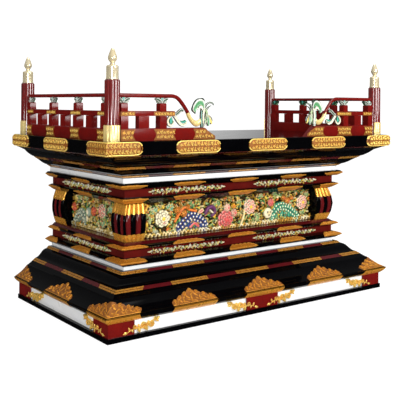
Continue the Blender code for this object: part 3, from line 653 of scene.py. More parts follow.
@dataclass(frozen=True)
class Plate:
    """A thin sheet of metal on a ground, from start to end along, between a lower and an upper edge. Its
    middle swells out by dome."""

    start: float
    end: float
    lower: Edge
    upper: Edge
    thick: float
    dome: float = 0.0

    def shape(self, ground: Ground, columns: int, rows: int) -> Shape:
        """The plate laid on its ground, with a column of points of its own on a corner's arris.

        Args:
            ground: What it lies on.
            columns: Points along it.
            rows: Points across it.

        Returns:
            Points and faces.
        """
        places = set(np.linspace(self.start, self.end, columns).round(6))
        places |= {0.0} if self.start < 0.0 < self.end else set()
        along = np.array(sorted(places))
        low = np.array([self.lower(a) for a in along])
        high = np.array([self.upper(a) for a in along])
        share = np.linspace(0, 1, rows)
        up = low[:, None] + (high - low)[:, None] * share
        swell = self.dome * (1 - (2 * share - 1) ** 4) ** 0.5
        ends = np.minimum(1, np.minimum(along - self.start, self.end - along) / max(self.dome * 3, 1e-6))
        falls = np.sqrt(np.clip(1 - (1 - ends) ** 2, 0, 1))[:, None]
        out = self.thick + swell * (falls if self.dome else 1)
        return ground.carried(sheet(np.stack([np.broadcast_to(along[:, None], up.shape), up,
                                              np.broadcast_to(out, up.shape)], axis=2)))


@dataclass
class Dais:
    """The sizes that every sub-assembly shares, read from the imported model."""

    slab_low: Vector = field(default_factory=lambda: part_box("top_slab")[0])
    slab_high: Vector = field(default_factory=lambda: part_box("top_slab")[1])
    bed_proud: float = 0.006
    spread: float = 0.471

    @property
    def half_width(self) -> float:
        """Half the slab's width, without the beds of its fittings."""
        return self.slab_high.x - self.bed_proud

    @property
    def half_depth(self) -> float:
        """Half the slab's depth, without the beds of its fittings."""
        return self.slab_high.y - self.bed_proud

    @property
    def floor(self) -> float:
        """Height of the slab's top."""
        return self.slab_high.z

    def profile(self, node: str) -> Profile:
        """Outline of a course."""
        return Profile.of(node, self.half_width)

    def ground(self, profile: Profile, side: Side, centre: float = 0.0) -> OnCourse:
        """A face or corner of a course, as a ground."""
        return OnCourse(profile, side, self.half_width, self.half_depth, centre)

    def places(self, profile: Profile, length: float, leg: float,
               wraps: bool = False) -> list[tuple[OnCourse, float]]:
        """Places of a course's fittings: three on the front, one on each side, and its corners and ends.

        Args:
            profile: The course's outline.
            length: Length of a fitting on a face.
            leg: Length of each leg of one on a corner.
            wraps: True if those on the back ends go on round the corner.

        Returns:
            Each ground with its fitting's half length.
        """
        inset = float(profile.inset.min())
        half = self.half_width - inset
        found = [(self.ground(profile, Side.FRONT, k * self.spread * half), length / 2) for k in (-1, 0, 1)]
        found += [(self.ground(profile, side, inset / 2), length / 2) for side in (Side.LEFT, Side.RIGHT)]
        found += [(self.ground(profile, side), leg) for side in (Side.CORNER_LEFT, Side.CORNER_RIGHT)]
        return found + [(OnCourse(profile, side, self.half_width, self.half_depth, 0.0, wraps), leg)
                        for side in (Side.BACK_LEFT, Side.BACK_RIGHT)]


def lay(pile: Pile, strokes: Iterable[Stroke], ground: Ground, base: float = 0.0,
        depth: float = 0.0) -> None:
    """Lays strokes on a ground.

    Args:
        pile: The pile that gets them.
        strokes: The strokes.
        ground: What they lie on.
        base: How far out their feet stand.
        depth: How deep their feet are set, or zero for a share of their height.
    """
    for stroke in strokes:
        pile.add(*ground.carried(stroke.shape(base, depth)), stroke.paint)


def karakusa(start: float, end: float, lower: Edge, upper: Edge, cell: float,
             height: float) -> list[Stroke]:
    """Scrolling foliage that fills a band: a curl in each cell, turning by turns, with leaves about it.

    Args:
        start: Where the band starts along.
        end: Where it ends.
        lower: Its lower edge at a place along.
        upper: Its upper edge at a place along.
        cell: Length of a cell.
        height: Height of the relief.

    Returns:
        The strokes.
    """
    count = max(1, round((end - start) / cell))
    step = (end - start) / count
    made: list[Stroke] = []
    for i in range(count):
        a = start + (i + 0.5) * step
        low, high = lower(a), upper(a)
        tall = high - low
        if tall < 0.004:
            continue
        hand = 1 if i % 2 else -1
        radius = min(step, tall) * 0.36
        middle = (low + high) / 2 + hand * max(0.0, tall * 0.5 - radius * 1.45)
        made += curl((a, middle), radius, -hand * math.pi / 2, 1.3, hand, 0.42, height)
        room = max(tall, step)
        for k, (turn, size) in enumerate(((0.6, 0.34), (2.3, 0.32), (3.9, 0.3), (5.4, 0.34))):
            angle = turn * hand + (0.3 if hand < 0 else 0)
            foot = (a + math.cos(angle) * radius * 1.05, middle + math.sin(angle) * radius * 1.05)
            tip = room * size * (1 if k % 2 else 0.85)
            reach_up = foot[1] + math.sin(angle) * tip
            reach_along = foot[0] + math.cos(angle) * tip
            if low < reach_up < high and start < reach_along < end:
                made.append(leaf(foot, angle, tip, tip * 0.42, 0.5 * hand, height * 0.9))
    return made


def edging(start: float, end: float, edge: Edge, shift: float, width: float, height: float,
           steps: int) -> Stroke:
    """A raised rim that follows a plate's edge.

    Args:
        start: Where it starts along.
        end: Where it ends.
        edge: The plate's edge at a place along.
        shift: How far the rim's middle stands above the edge.
        width: Its width.
        height: Its height.
        steps: Number of points.

    Returns:
        The rim.
    """
    along = np.linspace(start, end, steps)
    path = np.stack([along, [edge(a) + shift for a in along]], axis=1)
    return Stroke(path, np.full(steps, width), np.full(steps, height))


def refined(profile: Profile, steps: int = 4, corner: float = 24.0) -> Profile:
    """The profile with its bowed stretches rounded, and its corners kept.

    Args:
        profile: The outline as modelled.
        steps: Pieces that each stretch is cut into.
        corner: Turns sharper than this, in degrees, are corners.

    Returns:
        The finer outline.
    """
    points = np.stack([profile.inset, profile.height], axis=1)
    way = np.diff(points, axis=0)
    angle = np.degrees(np.arctan2(way[:, 1], way[:, 0]))
    turn = np.abs((np.diff(angle) + 180) % 360 - 180)
    sharp = {0, len(points) - 1} | {i + 1 for i, t in enumerate(turn) if t > corner}
    made = [points[0]]
    for i in range(len(points) - 1):
        a, b = points[i], points[i + 1]
        before = points[i - 1] if i not in sharp else 2 * a - b
        after = points[i + 2] if i + 1 not in sharp else 2 * b - a
        for k in range(1, steps + 1):
            u = k / steps
            made.append((2 * a + (b - before) * u + (2 * before - 5 * a + 4 * b - after) * u * u
                         + (3 * a - before - 3 * b + after) * u ** 3) / 2)
    smooth = np.array(made)
    return Profile(smooth[:, 0], smooth[:, 1])


@dataclass
class Mouldings:
    """The courses: lacquers on the modelled ones, and finer curves for the bowed ones."""

    dais: Dais
    bowed: tuple[str, ...] = ("flared_course", "ogee_course", "ledge_1", "ledge_2", "ledge_3",
                              "ledge_4", "cove_1", "cove_2")
    straight: tuple[tuple[Finish, tuple[str, ...]], ...] = (
        (BLACK, ("base_board", "lower_fillet", "waist_fillet", "drum_core", "cove_fillet_1",
                 "cove_fillet_2", "slab_fillet", "top_slab")),
        (WHITE, ("dado_panels", "lower_white_band", "upper_white_band")),
        (BAND_RED, ("lower_red_band", "upper_red_band")), (DARK_RED, ("drum_seat",)),
        (RED, ("dado_post_front_left", "dado_post_front_right", "dado_post_front_middle",
               "dado_post_back_left", "dado_post_back_right")))

    def build(self) -> None:
        """Builds the bowed courses and dresses the others."""
        for finish, nodes in self.straight:
            for node in nodes:
                dress_node(node, finish)
        for node in self.bowed:
            self.bowed_course(node)

    def bowed_course(self, node: str) -> None:
        """Builds a bowed course with its curves rounded.

        Args:
            node: The CAD course that it replaces.
        """
        profile = refined(self.dais.profile(node))
        x, front = self.dais.half_width - profile.inset, -self.dais.half_depth + profile.inset
        back = np.full(len(x), self.dais.half_depth)
        z = profile.height
        rings = np.stack([np.stack([-x, front, z], 1), np.stack([x, front, z], 1),
                          np.stack([x, back, z], 1), np.stack([-x, back, z], 1)], axis=1)
        pile = Pile()
        pile.add(*lofted(rings))
        pile.build(node + "_lacquered", BLACK, Slot.BLACK, [node], 30)


def dress_node(node: str, finish: Finish) -> None:
    """Gives a CAD node its finish.

    Args:
        node: The node.
        finish: The finish.
    """
    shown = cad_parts[node]
    shown.data.materials.clear()
    shown.data.materials.append(finish.material())


@dataclass
class SlabFittings:
    """The long chased cushions of gilt metal along the slab's edge."""

    dais: Dais
    length: float = 0.209
    leg: float = 0.1495
    height: float = 0.049
    end: float = 0.029
    thick: float = 0.0014
    dome: float = 0.0062
    relief: float = 0.0021
    plates: Pile = field(default_factory=Pile)
    chasing: Pile = field(default_factory=Pile)

    def build(self) -> None:
        """Builds the plates and the foliage chased on them."""
        low, high = self.dais.slab_low.z, self.dais.slab_high.z
        profile = Profile(np.array([0.0, 0.0]), np.array([low, high]))
        for ground, half in self.dais.places(profile, self.length, self.leg, True):
            self.cushion(ground, half, (high - low) / 2)
        self.plates.build("slab_fittings_ground", GILT_IN_PAINTED_SHADE, Slot.METAL)
        self.chasing.build("slab_fittings_foliage", CHASING, Slot.METAL)

    def cushion(self, ground: Ground, half: float, middle: float) -> None:
        """One cushion with rounded ends.

        Args:
            ground: What it lies on.
            half: Half its length.
            middle: Height of its middle above the slab's foot.
        """
        def tall(a: float) -> float:
            """Half the cushion's height at a place along."""
            past = max(0.0, (abs(a) - (half - self.end)) / self.end)
            return self.height / 2 * math.sqrt(max(0.0, 1 - past ** 2.4)) + 1e-4

        plate = Plate(-half, half, lambda a: middle - tall(a), lambda a: middle + tall(a),
                      self.thick, self.dome)
        self.plates.add(*plate.shape(ground, 41, 9))
        reach = half - self.end * 0.3
        for low, high in ((-0.86, 0.0), (0.0, 0.86)):
            row = karakusa(-reach, reach, lambda a: middle + tall(a) * low,
                           lambda a: middle + tall(a) * high, self.height * 0.34, self.relief * 1.4)
            lay(self.chasing, row, ground, self.thick + self.dome * 0.82, self.dome * 0.5)
        for sign in (-1, 1):
            rim = edging(-half * 0.985, half * 0.985, lambda a: middle + sign * tall(a) * 0.92, 0.0,
                         0.0045, self.relief * 0.8, 40)
            lay(self.chasing, [rim], ground, self.thick + self.dome * 0.35, self.dome * 0.5)


@dataclass
class LedgeFans:
    """Scalloped gilt plates over the ledges' sharp edges."""

    dais: Dais
    length: float = 0.155
    leg: float = 0.118
    under: float = 0.011
    scallops: int = 7
    relief: float = 0.0012
    base: float = 0.0007
    plates: Pile = field(default_factory=Pile)
    ribs: Pile = field(default_factory=Pile)

    def build(self) -> None:
        """Builds the plates of all four ledges."""
        for node in ("ledge_1", "ledge_2", "ledge_3", "ledge_4"):
            for ground, half in self.dais.places(self.dais.profile(node), self.length, self.leg):
                self.fan(ground, half)
        self.plates.build("ledge_fans_ground", ORANGE_GOLD, Slot.METAL)
        self.ribs.build("ledge_fans_ribs", RIB_GOLD, Slot.METAL)

    def fan(self, ground: OnCourse, half: float) -> None:
        """One plate: a low scalloped mound above the edge and a narrow strip below it.

        Args:
            ground: What it lies on.
            half: Half its length.
        """
        profile = ground.profile
        tip, total = profile.tip(), float(profile.run()[-1])
        upper = (profile.height[0] + profile.height[-1]) / 2 > 0.4
        rise = (total - tip) * (0.34 if upper else 0.86)
        under = tip * 0.82 if upper else self.under
        steep = 3.0 if upper else 8.0
        low, high = ground.span(half)

        def top(a: float) -> float:
            """Upper edge of the plate."""
            slope = min(1.0, (1 - abs(a) / half) * 2.6) ** 0.75 if abs(a) < half else 0.0
            wave = abs(math.sin(math.pi * self.scallops * (a + half) / (2 * half)))
            return tip + rise * slope * (0.84 + 0.16 * wave)

        def foot(a: float) -> float:
            """Lower edge of the plate."""
            return tip - under * min(1.0, (1 - min(1.0, abs(a) / half)) * steep)

        self.plates.add(*Plate(low, high, foot, top, 0.0009).shape(ground, 43, 7))
        count = self.scallops * 3
        for i in range(count):
            a = low + (high - low) * (i + 0.5) / count
            reach = top(a) - tip
            if reach < 0.006:
                continue
            lean = 0.25 * a / half * reach
            path = np.array([(a - lean, tip + reach * 0.16), (a - lean * 0.4, tip + reach * 0.5),
                             (a, tip + reach * 0.9)])
            rib = Stroke(path, np.array([0.0016, 0.0034, 0.0012]), np.full(3, self.relief))
            lay(self.ribs, [rib], ground, self.base)
        lay(self.ribs, [edging(low, high, lambda a: tip, 0.001, 0.0026, self.relief, 31),
                        edging(low, high, top, -0.0014, 0.0022, self.relief, 64)], ground, self.base)


@dataclass
class FlareMounts:
    """Scroll-edged gilt triangles on the flared course, with a plain strip over its lip."""

    dais: Dais
    length: float = 0.205
    leg: float = 0.142
    thick: float = 0.0012
    relief: float = 0.0022
    curls: int = 3
    plates: Pile = field(default_factory=Pile)
    scrolls: Pile = field(default_factory=Pile)
    strips: Pile = field(default_factory=Pile)

    def build(self) -> None:
        """Builds the triangles, their scrolls and the strips."""
        for ground, half in self.dais.places(self.dais.profile("flared_course"), self.length, self.leg):
            self.mount(ground, half)
        self.plates.build("flare_mounts_ground", GILT_IN_PAINTED_SHADE, Slot.METAL)
        self.scrolls.build("flare_mounts_scrolls", RIB_GOLD, Slot.METAL)
        self.strips.build("flare_lip_strips", RIB_GOLD, Slot.METAL)

    def mount(self, ground: OnCourse, half: float) -> None:
        """One triangle and its strip.

        Args:
            ground: What it lies on.
            half: Half its length.
        """
        tip, total = ground.profile.tip(), float(ground.profile.run()[-1])
        foot, peak = tip + (total - tip) * 0.1, total * 0.975
        low, high = ground.span(half)

        def top(a: float) -> float:
            """Upper edge of the triangle, climbing lobe by lobe."""
            share = min(1.0, max(0.0, 1 - abs(a) / half)) * (self.curls + 0.55)
            lobe = int(share)
            climb = (lobe + (1 - (1 - (share - lobe)) ** 2.4) ** 0.6) / (self.curls + 0.95)
            return foot + (peak - foot) * (0.22 + 0.76 * min(1.0, climb))

        self.plates.add(*Plate(low, high, lambda a: foot, top, self.thick).shape(ground, 121, 6))
        made = karakusa(low + 0.006, high - 0.006, lambda a: foot + 0.003, lambda a: top(a) - 0.003,
                        0.019, self.relief * 0.8)
        for sign in (-1, 1):
            if low <= sign * half * 0.5 <= high:
                made += self.edge_scrolls(sign, half, foot, top)
        if ground.side in (Side.FRONT, Side.LEFT, Side.RIGHT):
            made += curl((0.0, peak - 0.008), 0.0095, -math.pi / 2, 1.3, 1, 0.45, self.relief)
        made.append(edging(low, high, lambda a: foot, 0.0015, 0.003, self.relief * 0.6, 31))
        lay(self.scrolls, made, ground, self.thick * 0.8)
        strip = Plate(low, high, lambda a: total * 0.02, lambda a: tip + 0.0015, 0.001)
        self.strips.add(*strip.shape(ground, 25, 7))

    def edge_scrolls(self, sign: int, half: float, foot: float, top: Edge) -> list[Stroke]:
        """The curls that climb one side of a triangle.

        Args:
            sign: -1 for the left side, 1 for the right.
            half: Half the triangle's length.
            foot: Height of its foot.
            top: Its upper edge.

        Returns:
            The curls and a leaf at the end.
        """
        made: list[Stroke] = []
        for k in range(self.curls):
            share = (k + 0.62) / (self.curls + 0.55)
            a = sign * half * (1 - share)
            radius = 0.0072 + 0.0026 * share
            made += curl((a, top(a) - radius * 0.7), radius, math.pi / 2 + sign * 0.9, 1.25, -sign, 0.46,
                         self.relief * 1.3)
        made.append(leaf((sign * half * 0.84, foot + 0.003), 0.0 if sign > 0 else math.pi,
                         half * 0.15, 0.006, 0.1, self.relief))
        return made


@dataclass
class FilletStripes:
    """Stripes along the narrow fillets, gilt and maroon by turns.

    A row holds a fillet's node, the length of a gilt segment, its corner leg, the number of gilt lines,
    and the shares of the outline between which the stripe lies.
    """

    dais: Dais
    rows: tuple[tuple[str, float, float, int, float, float], ...] = (
        ("lower_fillet", 0.176, 0.121, 2, 0.56, 0.96), ("waist_fillet", 0.156, 0.115, 2, 0.1, 0.92),
        ("cove_fillet_1", 0.16, 0.118, 1, 0.35, 0.95), ("cove_fillet_2", 0.176, 0.125, 1, 0.48, 0.94),
        ("slab_fillet", 0.192, 0.137, 1, 0.82, 0.97))
    thick: float = 0.0008
    gap: float = 0.14

    def build(self) -> None:
        """Builds the stripes of every fillet."""
        gilt, maroon = Pile(), Pile()
        for node, length, leg, lines, low, high in self.rows:
            profile = self.dais.profile(node)
            total = float(profile.run()[-1])
            band = (total * low, total * high)
            for ground, start, end in self.whole(profile):
                self.segment(maroon, ground, (start, end), band, 1, self.thick * 0.4)
            for ground, half in self.dais.places(profile, length, leg):
                self.segment(gilt, ground, ground.span(half), band, lines, self.thick)
        gilt.build("fillet_gilding", STRIPE_GOLD, Slot.FILLET)
        maroon.build("fillet_maroon", STRIPE_RED, Slot.RED)

    def whole(self, profile: Profile) -> list[tuple[OnCourse, float, float]]:
        """The full lengths of the front and both sides, clear of the corners.

        Args:
            profile: The fillet's outline.

        Returns:
            Each ground with the start and end of its run.
        """
        inset = float(profile.inset.max())
        across, deep = self.dais.half_width - inset - 0.03, self.dais.half_depth
        return [(self.dais.ground(profile, Side.FRONT), -across, across),
                (self.dais.ground(profile, Side.LEFT), -deep + 0.04, deep - inset - 0.03),
                (self.dais.ground(profile, Side.RIGHT), -deep + inset + 0.03, deep - 0.04)]

    def segment(self, pile: Pile, ground: Ground, span: tuple[float, float], band: tuple[float, float],
                lines: int, thick: float) -> None:
        """One segment of one or two lines.

        Args:
            pile: The pile that gets it.
            ground: What it lies on.
            span: Where it starts and ends along.
            band: Lower and upper edge along the outline.
            lines: Number of lines.
            thick: How far it stands out.
        """
        tall = (band[1] - band[0]) / lines
        for k in range(lines):
            low = band[0] + tall * (k + (self.gap if k else 0.0))
            high = band[0] + tall * (k + 1 - (self.gap if k < lines - 1 else 0.0))
            pile.add(*Plate(*span, lambda a: low, lambda a: high, thick).shape(ground, 3, 3))


@dataclass
class BandFoliage:
    """Carved and painted foliage on the red bands."""

    dais: Dais
    front: tuple[float, float] = (0.083, 0.464)
    side: tuple[float, float] = (-0.119, 0.3)
    share: float = 0.8
    relief: float = 0.0055

    def build(self) -> None:
        """Builds the strips of both red bands."""
        carving = Pile()
        for node in ("lower_red_band", "upper_red_band"):
            profile = self.dais.profile(node)
            tall = float(profile.run()[-1])
            front, side = sum(self.front) / 2, sum(self.side) / 2
            for face, middle, span in ((Side.FRONT, -front, self.front), (Side.FRONT, front, self.front),
                                       (Side.LEFT, side, self.side), (Side.RIGHT, side, self.side)):
                self.strip(carving, self.dais.ground(profile, face, middle), (span[1] - span[0]) / 2, tall)
        carving.build("red_band_foliage", PAINTED, Slot.CARVING)

    def strip(self, carving: Pile, ground: Ground, half: float, tall: float) -> None:
        """One strip, pointed at both ends.

        Args:
            carving: The pile that gets it.
            ground: What it lies on.
            half: Half its length.
            tall: Height of the band.
        """
        middle = tall / 2

        def reach(a: float) -> float:
            """Half the strip's height at a place along."""
            return tall / 2 * self.share * min(1.0, 0.16 + (1 - abs(a) / half) * 6) ** 0.8

        chance = random.Random(3)
        made: list[Stroke] = []
        cell = tall * 0.34
        count = round(2 * half / cell)
        for i in range(count):
            a = -half + (i + 0.5) * 2 * half / count
            room = reach(a)
            hand = 1 if i % 2 else -1
            paint = (Paint.CREAM, Paint.WHITE, Paint.PALE_GOLD, Paint.CREAM)[i % 4]
            centre = (a, middle + hand * room * chance.uniform(0.2, 0.5))
            made += curl(centre, room * chance.uniform(0.36, 0.5), chance.uniform(0, 6.28), 1.0, hand, 0.5,
                         self.relief, paint)
            for _ in range(4):
                turn = chance.uniform(0, 6.28)
                up = middle + room * chance.uniform(-0.6, 0.6)
                made.append(leaf((a + chance.uniform(-0.5, 0.5) * cell, up), turn, room * 0.6, room * 0.38,
                                 0.5 * hand, self.relief * 0.8,
                                 chance.choice((Paint.CREAM, Paint.YELLOW, Paint.PALE_GOLD, Paint.GREEN))))
        for sign in (-1, 1):
            made.append(leaf((sign * half * 0.93, middle), 0.0 if sign > 0 else math.pi, half * 0.09,
                             tall * 0.22, 0.0, self.relief, Paint.CREAM))
        lay(carving, made, ground, 0.0, 0.001)


@dataclass
class DadoBrackets:
    """Openwork foliage of gilt metal at the ends of the white dado panels. Curls are given by their place
    on the stem, radius and hand, leaves by place, direction and length."""

    dais: Dais
    front: tuple[float, ...] = (-0.585, -0.11, 0.11, 0.585)
    side: tuple[float, ...] = (-0.267, 0.241)
    half: float = 0.068
    relief: float = 0.0034
    curls: tuple[tuple[float, float, int], ...] = (
        (0.3, 0.01, 1), (0.55, 0.015, 1), (0.8, 0.013, -1), (0.95, 0.0085, 1))
    leaves: tuple[tuple[float, float, float], ...] = (
        (0.03, 3.3, 0.018), (0.14, 1.9, 0.015), (0.18, 5.0, 0.012), (0.42, 1.6, 0.014), (0.44, 4.8, 0.017),
        (0.68, 4.9, 0.018), (0.7, 1.5, 0.014), (0.95, 0.4, 0.018), (0.97, 5.6, 0.016))

    def build(self) -> None:
        """Builds the brackets of the front and both sides."""
        metal = Pile()
        low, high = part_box("dado_post_front_middle")
        inset = self.dais.half_depth + low.y
        profile = Profile(np.array([inset, inset]), np.array([low.z, high.z]))
        tall = high.z - low.z
        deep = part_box("dado_panels")[0].y - low.y
        for i, x in enumerate(self.front):
            self.bracket(metal, self.dais.ground(profile, Side.FRONT, x), -1 if i % 2 else 1, tall, deep)
        for y, lean in zip(self.side, (-1, 1)):
            self.bracket(metal, self.dais.ground(profile, Side.LEFT, y), lean, tall, deep)
            self.bracket(metal, self.dais.ground(profile, Side.RIGHT, y), -lean, tall, deep)
        metal.build("dado_brackets", BRIGHT_GOLD, Slot.METAL)

    def bracket(self, metal: Pile, ground: Ground, lean: int, tall: float, deep: float) -> None:
        """One bracket: a stem that falls from the panel to the post, with curls and leaves.

        Args:
            metal: The pile that gets it.
            ground: What it lies on.
            lean: 1 if it is high on its right, -1 on its left.
            tall: Height of the dado.
            deep: How far the panel stands behind the posts.
        """
        t = np.linspace(0, 1, 14)
        fall = tall * (0.17 + 0.52 * t + 0.11 * np.sin(t * 8.5))
        stem = np.stack([(t - 0.5) * 2 * self.half, fall], axis=1)
        made = [Stroke(stem, 0.0058 * np.sin(math.pi * (0.08 + 0.86 * t)), np.full(14, self.relief))]
        for share, radius, hand in self.curls:
            x, z = stem[int(share * 13)]
            centre = (x, min(tall - radius - 0.002, max(radius + 0.002, z + hand * radius * 0.5)))
            made += curl(centre, radius, -hand * 1.4, 1.35, hand, 0.44, self.relief)
        for share, turn, size in self.leaves:
            made.append(leaf(tuple(stem[int(share * 13)]), turn, size, size * 0.62, 0.4, self.relief))
        if lean < 0:
            made = [stroke.mirrored() for stroke in made]
        lay(metal, made, ground, 0.0, deep)


HANDRAIL_UP = 0.1665


def spline(controls: Sequence[Sequence[float]], steps: int) -> Array:
    """A smooth curve through points.

    Args:
        controls: The points, with any number of values each.
        steps: Number of points wanted.

    Returns:
        Points on the curve, evenly shared out between the controls.
    """
    knots = np.array(controls, float)
    knots = np.vstack([2 * knots[0] - knots[1], knots, 2 * knots[-1] - knots[-2]])
    spans = len(knots) - 3
    t = np.linspace(0, spans, steps)
    k = np.minimum(t.astype(int), spans - 1)
    u = (t - k)[:, None]
    p0, p1, p2, p3 = knots[k], knots[k + 1], knots[k + 2], knots[k + 3]
    return (2 * p1 + (p2 - p0) * u + (2 * p0 - 5 * p1 + 4 * p2 - p3) * u * u
            + (3 * p1 - p0 - 3 * p2 + p3) * u ** 3) / 2


def bar(path: Array, radius: Array, deep: Array) -> Shape:
    """A round bar along a path in its ground's plane.

    Args:
        path: Its middle line, (n, 2).
        radius: Half its width in the plane, at each point.
        deep: Half its depth across the plane, at each point.

    Returns:
        Points and faces in (along, up, out).
    """
    turn = round_about(16)
    return swept(path, np.cos(turn) * radius[:, None], np.sin(turn) * deep[:, None])


def block(low: Sequence[float], high: Sequence[float], ease: float, slope: float = 0.0,
          toe: float = 0.0) -> Shape:
    """A straight piece of timber with rounded edges along its top.

    Args:
        low: Its lowest (along, up, out).
        high: Its highest (along, up, out).
        ease: Radius of its upper edges.
        slope: Length over which its far end falls away.
        toe: Height of the far end's face.

    Returns:
        Points and faces in (along, up, out).
    """
    turn = np.linspace(0, math.pi / 2, 4)
    level = high[1] - ease * (1 - np.sin(turn))
    inward = ease * (1 - np.cos(turn))
    levels, insets = np.concatenate([[low[1]], level]), np.concatenate([[0.0], inward])
    rings = []
    for z, inset in zip(levels, insets):
        fall = slope * max(0.0, (z - low[1] - toe) / max(high[1] - low[1] - toe, 1e-9))
        near, far = low[0] + inset, high[0] - inset - fall
        back, front = low[2] + inset, high[2] - inset
        rings.append([(near, z, back), (far, z, back), (far, z, front), (near, z, front)])
    return lofted(np.array(rings))


@dataclass(frozen=True)
class Blade:
    """A carved leaf with a raised rim and a sunk, painted middle, along a spine of (along, up) points.
    Lift is how far out its middle stands."""

    spine: Pairs
    width: tuple[float, ...]
    rim: Paint = Paint.WHITE
    heart: Paint = Paint.GREEN
    thick: float = 0.013
    lift: float = 0.0

    ACROSS = np.array([-1, -0.9, -0.66, -0.36, 0, 0.36, 0.66, 0.9, 1, 0.7, 0, -0.7])
    OUT = np.array([0, 0.75, 1, 0.62, 0.45, 0.62, 1, 0.75, 0, -0.8, -1, -0.8])

    def add_to(self, pile: Pile, ground: Ground, steps: int) -> None:
        """Adds the leaf to a pile.

        Args:
            pile: The pile that gets it.
            ground: What it stands in.
            steps: Points along it.
        """
        path = spline(self.spine, steps)
        t = np.linspace(0, 1, steps)
        width = np.interp(t, np.linspace(0, 1, len(self.width)), self.width) * 1.22
        slim = np.minimum(1, width / max(self.thick, 1e-6)) ** 0.5
        shape = swept(path, self.ACROSS * width[:, None] / 2,
                      self.lift + self.OUT * slim[:, None] * self.thick / 2)
        rim, heart = np.array(self.rim.value), np.array(self.heart.value)
        share = np.clip((0.62 - np.abs(self.ACROSS)) / 0.3, 0, 1) * (self.OUT > 0)
        colour = rim + (heart - rim) * share[:, None]
        colour = np.where((self.OUT <= -0.8)[:, None], heart, colour)
        outline = np.array(Paint.DARK_GREEN.value) * [0.3, 0.3, 0.3, 1]
        colour = np.where((np.abs(self.ACROSS) > 0.85)[:, None], outline, colour)
        pile.add(*ground.carried(shape), np.tile(colour, (steps, 1)))


@dataclass
class Newels:
    """The posts: reeded red shafts, ribbed metal sleeves and turned finials."""

    dais: Dais
    reeds: int = 10
    reed_depth: float = 0.0028
    radius: float = 0.0285
    sleeve: tuple[float, float] = (0.0288, 0.0308)
    half_turn: float = math.radians(96)
    cap: Pairs = (
        (0.0238, 0.0), (0.0238, 0.0032), (0.0226, 0.0046), (0.0222, 0.04), (0.0226, 0.044),
        (0.0222, 0.0468), (0.0196, 0.05), (0.012, 0.0516), (0.0092, 0.054), (0.008, 0.058),
        (0.0088, 0.061), (0.0118, 0.065), (0.015, 0.069), (0.0168, 0.0738), (0.0168, 0.0776),
        (0.0156, 0.083), (0.0134, 0.09), (0.0106, 0.098), (0.0074, 0.106), (0.0042, 0.1112),
        (0.0012, 0.1131))
    brow: Pairs = (
        (0.0, 0.005), (0.0009, 0.0026), (0.0026, 0.0009), (0.005, 0.0))

    def build(self) -> None:
        """Builds the four posts."""
        turn = round_about(self.reeds * 12)
        for corner in ("front_left", "front_right", "back_left", "back_right"):
            low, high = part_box(f"post_{corner}")
            centre = ((low.x + high.x) / 2, (low.y + high.y) / 2)
            profile = [(self.radius, low.z)]
            profile += [(self.radius - cut, high.z - down) for cut, down in self.brow]
            foot = [point.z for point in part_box(f"post_foot_{corner}")]
            head = (*centre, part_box(f"finial_{corner}")[0].z)
            for name, shape, finish, slot, node, angle in (
                    ("shaft", turned(profile, turn, (*centre, 0.0), self.reed(turn)), POST_RED, Slot.RED,
                     "post", 50),
                    ("sleeve", self.foot(centre, *foot), PALE_GOLD, Slot.METAL, "post_foot", 50),
                    ("finial", turned(self.cap, round_about(40), head), POLISHED_GOLD, Slot.METAL,
                     "finial", 35)):
                pile = Pile()
                pile.add(*shape)
                pile.build(f"newel_{name}_{corner}", finish, slot, [f"{node}_{corner}"], angle)

    def reed(self, turn: Array) -> Array:
        """How deep the shaft's outline is cut at each angle."""
        return self.reed_depth * (1 - np.abs(np.sin(turn * self.reeds / 2)) ** 0.55)

    def foot(self, centre: tuple[float, float], low: float, high: float) -> Shape:
        """The ribbed sleeve on the outer side of the foot.

        Args:
            centre: Plan position.
            low: Height of its foot.
            high: Height of its head.

        Returns:
            Points and faces.
        """
        outward = math.atan2(math.copysign(1, centre[1]), math.copysign(1, centre[0]))
        inner, outer = self.sleeve
        rings = []
        for a in outward + np.linspace(-self.half_turn, self.half_turn, 97):
            cut = float(self.reed(np.array([a]))[0])
            ring = ((inner - cut, low), (outer - cut, low), (outer - cut, high - 0.001),
                    (outer - 0.0007 - cut, high), (inner - cut, high))
            rings.append([(centre[0] + reach * math.cos(a), centre[1] + reach * math.sin(a), z)
                          for reach, z in ring])
        return lofted(np.array(rings))


